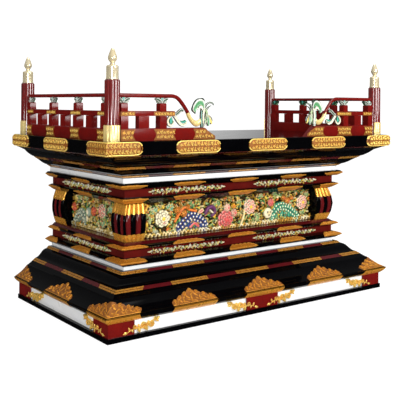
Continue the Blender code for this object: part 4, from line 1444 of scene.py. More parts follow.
@dataclass
class Railing:
    """One low railing: sill, struts, middle rail, brackets, handrail, and the metal on its outer face.

    Places are along its ground, the middle plane from its post. Struts are the tall ones, wides the low
    ones between them. Each row of struts has a half width and a half depth, and each plate a start and
    an end. The sill's end falls away over the slope. Leaves are those of a bracket: spine, widths,
    paint, thickness and points along it.
    """

    name: str
    ground: Flat
    start: float
    end: float
    struts: tuple[float, ...]
    wides: tuple[float, ...]
    middle_end: float
    handrail: Array
    sill_plates: Pairs
    rail_plates: Pairs
    slope: float = 0.0
    sill_size: tuple[float, float] = (0.046, 0.03)
    middle_size: tuple[float, float, float] = (0.091, 0.11, 0.022)
    strut_rows: Pairs = ((0.0155, 0.0155), (0.0225, 0.0125))
    upper_strut: float = 0.014
    strut_top: float = 0.139
    handrail_radius: float = 0.0075
    leaves: tuple[tuple, ...] = (
        (((0.002, 0.0), (0.009, 0.38), (0.018, 0.66), (0.0285, 0.8)), (0.01, 0.014, 0.013, 0.006),
         Paint.DARK_GREEN, 0.014, 12),
        (((0.003, 0.05), (0.011, 0.16), (0.019, 0.26), (0.0225, 0.5)), (0.005, 0.007, 0.007, 0.003),
         Paint.LIGHT_GREEN, 0.01, 10))
    plates: Pile = field(default_factory=Pile)
    chasing: Pile = field(default_factory=Pile)

    def build(self) -> None:
        """Builds the railing."""
        self.timber()
        self.carving()
        self.metal()

    def timber(self) -> None:
        """The sill, the struts and the rails in red lacquer."""
        tall, deep = self.sill_size
        under, over, rail = self.middle_size
        sill = [block((self.start, 0, -deep / 2), (self.end, tall, deep / 2), 0.0045, self.slope,
                      tall * 0.3)]
        for (w, d), places in zip(self.strut_rows, (self.struts, self.wides)):
            sill += [block((x - w, tall - 0.003, -d), (x + w, under - 0.0003, d), 0.001) for x in places]
        w = self.upper_strut
        middle = [block((self.start, under, -rail / 2), (self.middle_end, over, rail / 2), 0.0025)]
        middle += [block((x - w, over - 0.003, -w), (x + w, self.strut_top, w), 0.0045)
                   for x in self.struts]
        radius = np.full(len(self.handrail), self.handrail_radius)
        hand = [bar(self.handrail, radius, radius)]
        for part, shapes in (("sill", sill), ("middle", middle), ("handrail", hand)):
            pile = Pile()
            for shape in shapes:
                pile.add(*self.ground.carried(shape))
            pile.build(f"{self.name}_{part}_lacquered", RED, Slot.RED, [f"{self.name}_{part}"], 50)

    def carving(self) -> None:
        """The painted cloud brackets, whose leaves open between the struts and the handrail."""
        pile = Pile()
        low, high = self.strut_top - 0.001, HANDRAIL_UP - self.handrail_radius
        for x in self.struts:
            for sign in (-1, 1):
                room = min(0.03, (x - self.start if sign < 0 else self.end - x) + 0.001)
                for spine, width, heart, thick, steps in self.leaves:
                    reach = tuple((x + sign * min(room, a), low + (high - low) * b) for a, b in spine)
                    Blade(reach, width, Paint.WHITE, heart, thick).add_to(pile, self.ground, steps)
            Blade(((x, low), (x, (low + high) / 2), (x, high)), (0.006, 0.009, 0.013), Paint.WHITE,
                  Paint.TURQUOISE, 0.016).add_to(pile, self.ground, 8)
        pile.build(f"{self.name}_brackets", PAINTED, Slot.LEAF)

    def metal(self) -> None:
        """The chased plates on the outer face."""
        tall, deep = self.sill_size
        under, over, rail = self.middle_size
        for span in self.sill_plates:
            self.plate(self.ground.moved_out(deep / 2), span, (0.0012, tall - 0.0042), 0.0105)
        for span in self.rail_plates:
            self.plate(self.ground.moved_out(rail / 2), span, (under + 0.0004, over - 0.0022), 0.0)
        self.plates.build(f"{self.name}_plates", GILT_IN_PAINTED_SHADE, Slot.METAL)
        self.chasing.build(f"{self.name}_chasing", CHASING, Slot.METAL)

    def plate(self, ground: Flat, span: tuple[float, float], heights: tuple[float, float],
              bite: float) -> None:
        """One plate with hollow ends, chased with curls.

        Args:
            ground: The face that it lies on.
            span: Where it starts and ends along.
            heights: Its lower and upper edge.
            bite: How far its ends are hollowed.
        """
        share = np.linspace(0, 1, 13)
        hollow = bite * (1 - np.abs(2 * share - 1) ** 1.4)
        at_post = abs(span[0] - self.start) < 0.002
        at_end = self.slope > 0 and abs(span[1] - self.end) < 0.004
        left = span[0] + (0 if at_post else 1) * hollow
        right = span[1] - (0 if abs(span[1] - self.end) < 0.002 else 1) * hollow
        if at_end:
            right = span[1] - self.slope * np.clip((share - 0.28) / 0.72, 0, 1)
        along = left[:, None] + (right - left)[:, None] * np.linspace(0, 1, 9)
        up = np.broadcast_to((heights[0] + (heights[1] - heights[0]) * share)[:, None], along.shape)
        self.plates.add(*ground.carried(sheet(np.stack([along, up, np.full(along.shape, 0.0011)], axis=2))))
        tall = heights[1] - heights[0]
        bands, margin = (2, 0.003) if tall > 0.03 else (1, 0.001)
        for k in range(bands):
            low = heights[0] + margin + (tall - 2 * margin) * k / bands
            high = low + (tall - 2 * margin) / bands
            middle = (k + 0.5) / bands
            near = float(np.interp(middle, share, left)) + 0.002
            far = float(np.interp(min(1.0, middle + 0.14), share, right)) - 0.002
            row = karakusa(near, far, lambda a: low, lambda a: high, (high - low) * 0.9, 0.0018)
            lay(self.chasing, row, ground, 0.0009, 0.0006)


@dataclass
class Returns:
    """The carved ends of the front returns: gilt scoop, standing leaf and small scroll."""

    scoop: tuple[tuple[float, float, float], ...] = (
        (0.333, 0.1035, 0.0078), (0.3385, 0.0925, 0.0079), (0.3455, 0.0815, 0.008), (0.3545, 0.072, 0.0088),
        (0.3655, 0.064, 0.0108), (0.3755, 0.0612, 0.0125), (0.385, 0.064, 0.0115), (0.3915, 0.072, 0.007),
        (0.3945, 0.0805, 0.0022))
    leaf: tuple[Blade, ...] = (
        Blade(((0.404, 0.11), (0.405, 0.128), (0.3985, 0.1405), (0.3855, 0.1395), (0.3735, 0.129),
               (0.365, 0.116), (0.3695, 0.104)), (0.012, 0.02, 0.029, 0.033, 0.03, 0.022, 0.005),
              Paint.WHITE, Paint.GREEN, 0.014),
        Blade(((0.401, 0.115), (0.396, 0.126), (0.387, 0.124), (0.379, 0.115)),
              (0.006, 0.011, 0.01, 0.003), Paint.CREAM, Paint.WHITE, 0.01, 0.004),
        Blade(((0.3715, 0.1005), (0.357, 0.1123), (0.358, 0.1242), (0.3738, 0.1445), (0.3904, 0.1552),
               (0.4053, 0.1575), (0.4157, 0.1501)), (0.004, 0.006, 0.005, 0.004, 0.005, 0.0064, 0.003),
              Paint.DARK_GREEN, Paint.BLACK, 0.009, -0.001),
        Blade(((0.415, 0.118), (0.4205, 0.13), (0.43, 0.1395), (0.442, 0.1435), (0.454, 0.141),
               (0.4616, 0.133)), (0.008, 0.008, 0.007, 0.0065, 0.006, 0.002), Paint.WHITE,
              Paint.DARK_GREEN, 0.01),
        Blade(((0.421, 0.112), (0.4284, 0.1195), (0.435, 0.1265), (0.4472, 0.1323)),
              (0.006, 0.007, 0.005, 0.002), Paint.WHITE, Paint.DARK_GREEN, 0.008, 0.002),
        Blade(((0.4025, 0.0463), (0.4, 0.07), (0.3995, 0.095), (0.402, 0.118)),
              (0.01, 0.009, 0.01, 0.009), Paint.WHITE, Paint.TURQUOISE, 0.013),
        Blade(((0.4085, 0.0463), (0.4065, 0.07), (0.406, 0.095), (0.41, 0.122)),
              (0.009, 0.008, 0.009, 0.01), Paint.WHITE, Paint.CREAM, 0.011, 0.002),
        Blade(((0.412, 0.12), (0.42, 0.112), (0.425, 0.1005), (0.4262, 0.088)),
              (0.008, 0.01, 0.01, 0.006), Paint.CREAM, Paint.LIGHT_GREEN, 0.012),
        Blade(((0.418, 0.1), (0.4215, 0.088), (0.419, 0.072), (0.414, 0.0545)),
              (0.006, 0.01, 0.012, 0.006), Paint.CREAM, Paint.LIGHT_GREEN, 0.011),
        Blade(((0.422, 0.1), (0.4285, 0.084), (0.432, 0.068), (0.433, 0.0515)),
              (0.007, 0.013, 0.015, 0.007), Paint.WHITE, Paint.GREEN, 0.012, 0.001),
        Blade(((0.426, 0.098), (0.4355, 0.085), (0.444, 0.07), (0.45, 0.059)),
              (0.006, 0.011, 0.012, 0.005), Paint.CREAM, Paint.YELLOW, 0.01),
        Blade(((0.43, 0.095), (0.441, 0.088), (0.45, 0.0795), (0.4545, 0.069)),
              (0.004, 0.007, 0.007, 0.002), Paint.WHITE, Paint.BLACK, 0.008, -0.001),
        Blade(((0.4065, 0.048), (0.411, 0.058), (0.412, 0.07), (0.4095, 0.08)),
              (0.004, 0.006, 0.006, 0.002), Paint.WHITE, Paint.BLACK, 0.008, 0.004))
    scroll: tuple[Blade, ...] = (
        Blade(((0.26, 0.099), (0.2711, 0.093), (0.285, 0.101), (0.2975, 0.1105), (0.306, 0.113),
               (0.3115, 0.1075)), (0.01, 0.01, 0.0125, 0.0125, 0.011, 0.005), Paint.WHITE,
              Paint.DARK_GREEN, 0.013),
        Blade(((0.264, 0.096), (0.274, 0.087), (0.286, 0.072), (0.299, 0.06), (0.313, 0.057),
               (0.323, 0.062), (0.3275, 0.071)), (0.009, 0.012, 0.012, 0.012, 0.012, 0.011, 0.004),
              Paint.WHITE, Paint.CREAM, 0.013),
        Blade(((0.2985, 0.07), (0.308, 0.0655), (0.3165, 0.0665), (0.323, 0.074)),
              (0.006, 0.012, 0.014, 0.006), Paint.GREEN, Paint.TURQUOISE, 0.01),
        Blade(((0.262, 0.095), (0.251, 0.089), (0.24, 0.076), (0.2415, 0.061), (0.253, 0.054),
               (0.264, 0.06), (0.268, 0.072)), (0.007, 0.008, 0.008, 0.009, 0.009, 0.008, 0.003),
              Paint.WHITE, Paint.CREAM, 0.013),
        Blade(((0.255, 0.086), (0.2545, 0.076), (0.2545, 0.068), (0.254, 0.061)),
              (0.007, 0.014, 0.016, 0.006), Paint.GREEN, Paint.TURQUOISE, 0.011))

    def build(self, name: str, ground: Flat) -> None:
        """Builds the carved end of one return.

        Args:
            name: The return's name.
            ground: The railing's middle plane.
        """
        gilt = Pile()
        path = spline([(x, z) for x, z, _ in self.scoop], 30)
        radius = np.interp(np.linspace(0, 1, 30), np.linspace(0, 1, len(self.scoop)),
                           [r for _, _, r in self.scoop])
        gilt.add(*ground.carried(bar(path, radius, np.minimum(radius, 0.0082))))
        gilt.build(f"{name}_handrail_scoop", PALE_GOLD, Slot.METAL, (), 50)
        node = name.replace("return", "carved_leaf")
        for part, blades, steps, nodes in (("leaf", self.leaf, 26, [node]),
                                           ("scroll", self.scroll, 22, ())):
            pile = Pile()
            for blade in blades:
                blade.add_to(pile, ground, steps)
            pile.build(f"{name}_{part}_carving", PAINTED, Slot.LEAF, nodes, 60)


@dataclass
class Railings:
    """Both side railings and both front returns."""

    dais: Dais
    clear: float = 0.0288
    strut: float = 0.0155
    sweep: Pairs = (
        (0.245, 0.1665), (0.26, 0.1664), (0.2721, 0.1645), (0.2846, 0.1598), (0.2972, 0.1495),
        (0.3081, 0.1378), (0.3191, 0.1245), (0.3301, 0.1095), (0.3376, 0.097))

    def build(self) -> None:
        """Builds the four railings."""
        for side, sign in (("left", -1), ("right", 1)):
            low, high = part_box(f"post_front_{side}")
            front = ((low.x + high.x) / 2, (low.y + high.y) / 2)
            low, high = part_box(f"post_back_{side}")
            back = (low.y + high.y) / 2
            self.side(f"rail_{side}", sign, front, back)
            self.front(f"return_{side}", sign, front)

    def side(self, name: str, sign: int, front: tuple[float, float], back: float) -> None:
        """The railing between two posts.

        Args:
            name: Its name.
            sign: -1 on the left, 1 on the right.
            front: Plan position of the front post.
            back: Place of the back post along the side.
        """
        ground = Flat((front[0], 0.0, self.dais.floor), (0, 1, 0), (sign, 0, 0))
        start, end = front[1] + self.clear, back - self.clear
        first, last = start + self.strut, end - self.strut
        struts = tuple(np.linspace(first, last, 4))
        wides = tuple((a + b) / 2 for a, b in zip(struts, struts[1:]))
        plates = tuple((max(start, x - 0.041), min(end, x + 0.041)) for x in struts)
        path = np.array([(a, HANDRAIL_UP) for a in np.linspace(start, end, 5)])
        Railing(name, ground, start, end, struts, wides, end, path, plates, plates).build()

    def front(self, name: str, sign: int, front: tuple[float, float]) -> None:
        """The short railing on the front and its carved end.

        Args:
            name: Its name.
            sign: -1 on the left, 1 on the right.
            front: Plan position of the front post.
        """
        ground = Flat((front[0], front[1], self.dais.floor), (-sign, 0, 0), (0, -1, 0))
        start, end = self.clear, 0.458
        struts = (start + self.strut, 0.2124)
        path = np.vstack([[(a, HANDRAIL_UP) for a in (start, 0.12, 0.22)], spline(self.sweep, 26)])
        Railing(name, ground, start, end, struts, ((struts[0] + struts[1]) / 2,), 0.267, path,
                ((start, 0.0903), (0.1703, 0.2703), (0.3503, end)), ((start, 0.0903), (0.1723, 0.267)),
                0.052).build()
        Returns().build(name, ground)


ReedLine = tuple[Reed, float, float]


@dataclass
class Pillars:
    """The drum's pillars: rounded reeds in black and red by turns, with gilt tongues at head and foot."""

    dais: Dais
    leg: float = 0.105
    width: float = 0.021
    depth: float = 0.006
    insets: tuple[float, float, float] = (0.1967, 0.1775, 0.195)
    head_tongue: float = 0.034
    foot_tongue: float = 0.026

    def build(self) -> None:
        """Lays the reeds and tongues on the four modelled pillars."""
        for name in ("front_left", "front_right", "back_left", "back_right"):
            dress_node(f"pillar_{name}", BLACK)
            low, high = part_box(f"pillar_{name}")
            black, red, gilt = Pile(), Pile(), Pile()
            sign = -1 if name.endswith("left") else 1
            for i, line in enumerate(self.lines(name.startswith("front"))):
                pile = red if i % 2 else black
                pile.add(*self.reed(line, sign, low.z, high.z, 0.0, 0.0, 0.0007, 15))
                head, foot = high.z - self.head_tongue, low.z + self.foot_tongue
                gilt.add(*self.reed(line, sign, head, high.z, -0.006, 0.0, 0.0018, 7))
                gilt.add(*self.reed(line, sign, low.z, foot, 0.0, 0.005, 0.0018, 7))
            black.build(f"pillar_{name}_black_reeds", BLACK, Slot.BLACK, (), 60)
            red.build(f"pillar_{name}_red_reeds", REED_RED, Slot.RED, (), 60)
            gilt.build(f"pillar_{name}_tongues", TONGUE_GOLD, Slot.METAL, (), 60)

    def lines(self, front: bool) -> list[ReedLine]:
        """Kind and extent of each reed, in order round the pillar from the side to the front.

        Args:
            front: True for a front pillar.

        Returns:
            (kind, start share, end share) of each reed.
        """
        if not front:
            return [(Reed.BACK, i / 5, (i + 1) / 5) for i in range(5)]
        side = [(Reed.SIDE, i / 4, (i + 1) / 4) for i in range(4)][::-1]
        return side + [(Reed.CORNER, 0.0, 1.0)] + [(Reed.FRONT, i / 4, (i + 1) / 4) for i in range(4)]

    def inset(self, z: Array, low: float, high: float) -> Array:
        """The barrel's inset at heights."""
        t = (z - low) / (high - low)
        ends = self.insets[0] + (self.insets[2] - self.insets[0]) * t
        return ends + (self.insets[1] - ends) * np.sin(math.pi * t)

    def reed(self, line: ReedLine, sign: int, start: float, end: float, dip: float,
             rise: float, proud: float, rows: int) -> Shape:
        """One reed, or a tongue on it, between two heights.

        Args:
            line: Kind and extent of the reed.
            sign: -1 on the left, 1 on the right.
            start: Height of its foot.
            end: Height of its head.
            dip: How far its middle reaches on at the foot.
            rise: How far its middle reaches on at the head.
            proud: How far it stands proud of the modelled reed.
            rows: Points along it.

        Returns:
            Points and faces.
        """
        low, high = (corner.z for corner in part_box("pillar_front_left"))
        t = np.linspace(0.0, 1.0, 11)
        bulge = np.sqrt(np.clip(1 - (2 * t - 1) ** 2, 0, 1))
        rings = []
        for share in np.linspace(0, 1, rows):
            z = (start + dip * bulge) * (1 - share) + (end + rise * bulge) * share
            inset = self.inset(np.clip(z, low, high), low, high)
            front = self.across(line, t, inset, self.depth * (bulge - 1) + proud)
            back = self.across(line, t, inset, np.full(len(t), -self.depth - 0.002))
            ring = np.vstack([np.column_stack([front, z]), np.column_stack([back, z])[::-1]])
            ring[:, 0] *= sign
            rings.append(ring)
        return lofted(np.array(rings))

    def across(self, line: ReedLine, t: Array, inset: Array, out: Array) -> Array:
        """Plan positions across a reed.

        Args:
            line: Kind and extent of the reed.
            t: Places across it, nought to one.
            inset: The barrel's inset at each place.
            out: How far out each place stands.

        Returns:
            (x, y) of each place, for the right side.
        """
        kind, first, last = line
        x, y = self.dais.half_width - inset, -self.dais.half_depth + inset
        turn = self.width / 2
        share = first + (last - first) * t
        if kind is Reed.FRONT:
            cheek = self.dais.half_width - self.insets[1] - self.leg
            return np.column_stack([(x - turn) + (cheek - (x - turn)) * share, y - out])
        if kind is Reed.SIDE:
            cheek = -self.dais.half_depth + self.insets[1] + self.leg
            return np.column_stack([x + out, (y + turn) + (cheek - (y + turn)) * share])
        if kind is Reed.BACK:
            return np.column_stack([x + out, self.dais.half_depth - self.leg * (1 - share)])
        angle = -math.pi / 2 * t
        return np.column_stack([x - turn + (turn + out) * np.cos(angle),
                                y + turn + (turn + out) * np.sin(angle)])


@dataclass
class Relief:
    """A carved and painted panel between two (along, up) corners, kept as the height and the paint of
    each point of a fine grid. Nothing goes beyond the deepest height."""

    low: tuple[float, float]
    high: tuple[float, float]
    cell: float = 0.0017
    ground: float = 0.0105
    deepest: float = 0.0385
    warmth: Colour = (1.06, 0.92, 0.66)

    def __post_init__(self) -> None:
        """Lays out the grid."""
        columns = round((self.high[0] - self.low[0]) / self.cell) + 1
        rows = round((self.high[1] - self.low[1]) / self.cell) + 1
        self.along, self.up = np.meshgrid(np.linspace(self.low[0], self.high[0], columns),
                                          np.linspace(self.low[1], self.high[1], rows), indexing="ij")
        self.tall = np.full(self.along.shape, self.ground)
        # Painted shade: the ground between the figures is old gold darkened to a quarter, standing in for
        # shade in the recesses.
        dark = np.array(Paint.OLD_GOLD.value) * [0.25, 0.25, 0.25, 1]
        self.colour = np.tile(dark, (*self.along.shape, 1))

    def raise_to(self, window: tuple[slice, slice], tall: Array, inside: Array, colour: Array) -> None:
        """Raises part of the grid where a shape stands above what is there.

        Args:
            window: The part.
            tall: The shape's height there.
            inside: Where the shape is.
            colour: The shape's paint there.
        """
        over = inside & (tall > self.tall[window])
        self.tall[window] = np.where(over, tall, self.tall[window])
        self.colour[window] = np.where(over[..., None], colour, self.colour[window])

    def window(self, x: float, z: float, reach: float) -> tuple[slice, slice] | None:
        """The part of the grid round a place, or None if it is off the panel."""
        i = int((x - reach - self.low[0]) / self.cell), int((x + reach - self.low[0]) / self.cell) + 2
        k = int((z - reach - self.low[1]) / self.cell), int((z + reach - self.low[1]) / self.cell) + 2
        rows = slice(max(0, i[0]), max(0, min(self.along.shape[0], i[1])))
        columns = slice(max(0, k[0]), max(0, min(self.along.shape[1], k[1])))
        if rows.stop - rows.start < 1 or columns.stop - columns.start < 1:
            return None
        return rows, columns

    def petal(self, x: float, z: float, angle: float, length: float, width: float, base: float,
              height: float, paint: Paint, rim: Paint | None = None, bend: float = 0.0,
              vein: float = 0.55) -> None:
        """A petal or leaf, with a groove along it and perhaps a rim of another paint.

        Args:
            x: Its foot along.
            z: Its foot up.
            angle: Its direction, in radians.
            length: Its length.
            width: Its width.
            base: Height of its edge.
            height: How far it swells above that.
            paint: Its paint.
            rim: Paint of its rim.
            bend: How far it bends sideways.
            vein: How dark its vein is.
        """
        window = self.window(x + math.cos(angle) * length / 2, z + math.sin(angle) * length / 2,
                             length / 2 + width)
        if window is None:
            return
        dx, dz = self.along[window] - x, self.up[window] - z
        u = (dx * math.cos(angle) + dz * math.sin(angle)) / length
        v = (-dx * math.sin(angle) + dz * math.cos(angle)) / (width / 2)
        v = v - bend * (2 * u - 1) ** 2
        far = np.sqrt((2 * u - 1) ** 2 + (v / np.maximum(0.25, 0.55 + 0.6 * u)) ** 2)
        inside = far < 1
        swell = np.sqrt(np.clip(1 - far ** 2, 0, 1))
        groove = 0.28 * np.exp(-(v / 0.22) ** 2)
        tall = base + height * (swell - groove + 0.25 * u)
        colour = np.tile(np.array(paint.value), (*inside.shape, 1))
        if rim is not None:
            share = np.clip((far - 0.55) / 0.2, 0, 1)[..., None]
            colour = colour * (1 - share) + np.array(rim.value) * share
        colour[..., :3] *= (1 - vein * np.exp(-(v / 0.16) ** 2))[..., None]
        # Painted shade: each petal's outer edge is darkened to under a third, where it meets the ground or
        # the petals round it.
        colour[..., :3] *= np.where(far > 0.86, 0.28, 1.0)[..., None]
        self.raise_to(window, tall, inside, colour)

    def ball(self, x: float, z: float, radius: float, base: float, height: float, paint: Paint,
             spot: Paint | None = None) -> None:
        """A round knob, perhaps with a spot of another paint.

        Args:
            x: Its middle along.
            z: Its middle up.
            radius: Its radius.
            base: Height of its edge.
            height: How far it swells above that.
            paint: Its paint.
            spot: Paint of its middle.
        """
        window = self.window(x, z, radius)
        if window is None:
            return
        far = np.hypot(self.along[window] - x, self.up[window] - z) / radius
        colour = np.tile(np.array(paint.value), (*far.shape, 1))
        if spot is not None:
            share = np.clip((0.52 - far) / 0.12, 0, 1)[..., None]
            colour = colour * (1 - share) + np.array(spot.value) * share
        self.raise_to(window, base + height * np.sqrt(np.clip(1 - far ** 2, 0, 1)), far < 1, colour)

    def trail(self, points: Sequence[tuple[float, float]], radius: float, base: float, height: float,
              paint: Paint, spot: Paint | None = None, step: float = 0.5) -> None:
        """A row of knobs along a curve: a branch, a wave or a curly mane.

        Args:
            points: The curve's points.
            radius: Radius of a knob.
            base: Height of the edge.
            height: How far it swells.
            paint: Its paint.
            spot: Paint of each knob's middle.
            step: Distance between knobs, as a share of the radius.
        """
        path = spline(points, 60)
        run = np.concatenate([[0], np.cumsum(np.hypot(*np.diff(path, axis=0).T))])
        count = max(2, int(run[-1] / (radius * step)))
        for d in np.linspace(0, run[-1], count):
            self.ball(float(np.interp(d, run, path[:, 0])), float(np.interp(d, run, path[:, 1])),
                      radius, base, height, paint, spot)

    def peony(self, x: float, z: float, radius: float, outer: Paint, rim: Paint, heart: Paint,
              base: float = 0.019) -> None:
        """A full blossom: three rings of petals and a heart.

        Args:
            x: Its middle along.
            z: Its middle up.
            radius: Its radius.
            outer: Paint of its petals.
            rim: Paint of their rims.
            heart: Paint of its heart.
            base: Height of its outer petals.
        """
        for ring, (count, start, size, lift) in enumerate(((7, 0.4, 0.62, 0.0), (6, 0.2, 0.54, 0.004),
                                                           (4, 0.04, 0.44, 0.0075))):
            for i in range(count):
                a = 2 * math.pi * (i + 0.4 * ring) / count
                self.petal(x + math.cos(a) * radius * start, z + math.sin(a) * radius * start, a,
                           radius * size, radius * size * 1.35, base + lift, 0.0058, outer, rim, 0.0, 0.0)
        self.ball(x, z, radius * 0.22, base + 0.0125, 0.004, heart)

    def spray(self, x: float, z: float, angle: float, size: float, paint: Paint, rim: Paint,
              base: float = 0.016, count: int = 5) -> None:
        """A spray of leaves that fan out from one foot.

        Args:
            x: Its foot along.
            z: Its foot up.
            angle: Its middle direction, in radians.
            size: Length of its middle leaf.
            paint: Paint of the leaves.
            rim: Paint of their rims.
            base: Height of its leaves.
            count: Number of leaves.
        """
        for i in range(count):
            turn = (i - (count - 1) / 2) / max(1, (count - 1) / 2)
            self.petal(x, z, angle + turn * 1.15, size * (1 - 0.25 * abs(turn)), size * 0.36,
                       base + 0.002 * (1 - abs(turn)), 0.005, paint, rim, 0.5 * turn)

    def undergrowth(self, seed: int, count: int) -> None:
        """Small gilt and painted leaves all over the ground.

        Args:
            seed: Start of the random numbers.
            count: Number of leaves.
        """
        chance = random.Random(seed)
        paints = (Paint.GOLD, Paint.YELLOW, Paint.PALE_GOLD, Paint.LIGHT_GREEN, Paint.CREAM, Paint.GREEN,
                  Paint.GOLD, Paint.OLD_GOLD, Paint.ORANGE, Paint.GREEN, Paint.LIGHT_GREEN)
        for _ in range(count):
            paint = chance.choice(paints)
            size = chance.uniform(0.013, 0.026)
            self.petal(chance.uniform(self.low[0], self.high[0]), chance.uniform(self.low[1], self.high[1]),
                       chance.uniform(0, 2 * math.pi), size, size * chance.uniform(0.3, 0.45),
                       chance.uniform(0.011, 0.018), 0.0055, paint,
                       chance.choice((None, None, Paint.CREAM, Paint.YELLOW)), chance.uniform(-0.6, 0.6))

    def ground_line(self, seed: int) -> None:
        """Rocks and waves along the foot, gilt and cream.

        Args:
            seed: Start of the random numbers.
        """
        chance = random.Random(seed)
        x = self.low[0]
        foot = self.low[1]
        while x < self.high[0]:
            size = chance.uniform(0.012, 0.022)
            paint = chance.choice((Paint.PALE_GOLD, Paint.CREAM, Paint.GOLD, Paint.WHITE))
            lift = chance.uniform(0.004, 0.01)
            middle = x + size * 0.5
            wave = ((x, foot + 0.003), (middle, foot + lift + 0.008), (x + size * 1.1, foot + 0.004))
            self.trail(wave, 0.0032, 0.02, 0.006, paint)
            self.petal(middle, foot + 0.002, 1.2, size * 0.9, size * 0.5, 0.018, 0.006, Paint.OLD_GOLD,
                       Paint.PALE_GOLD)
            x += size * 0.9

    def placed(self, pile: Pile, ground: Ground) -> None:
        """Adds the panel to a pile as a closed slab.

        Args:
            pile: The pile that gets it.
            ground: The plane of its back.
        """
        # Painted shade and highlight: each point's paint is darkened where it lies lower than the mean
        # height round it, and brightened where it stands higher.
        tall = np.minimum(self.tall, self.deepest)
        wide = np.pad(tall, 4, mode="edge")
        steps = range(0, 9, 2)
        around = sum(wide[i:i + tall.shape[0], k:k + tall.shape[1]] for i in steps for k in steps) / 25
        painted_shade_and_highlight = np.clip(0.86 + (tall - around) / 0.0055, 0.16, 1.12)
        self.colour[..., :3] = np.clip(self.colour[..., :3] * painted_shade_and_highlight[..., None] * self.warmth, 0, 0.95)
        front = np.stack([self.along, self.up, tall], axis=2)
        back = front[:, [-1, 0]].copy()
        back[..., 2] = 0.0
        colours = np.concatenate([self.colour, np.zeros((*back.shape[:2], 4))], axis=1)
        pile.add(*ground.carried(lofted(np.concatenate([front, back], axis=1))), colours.reshape(-1, 4))


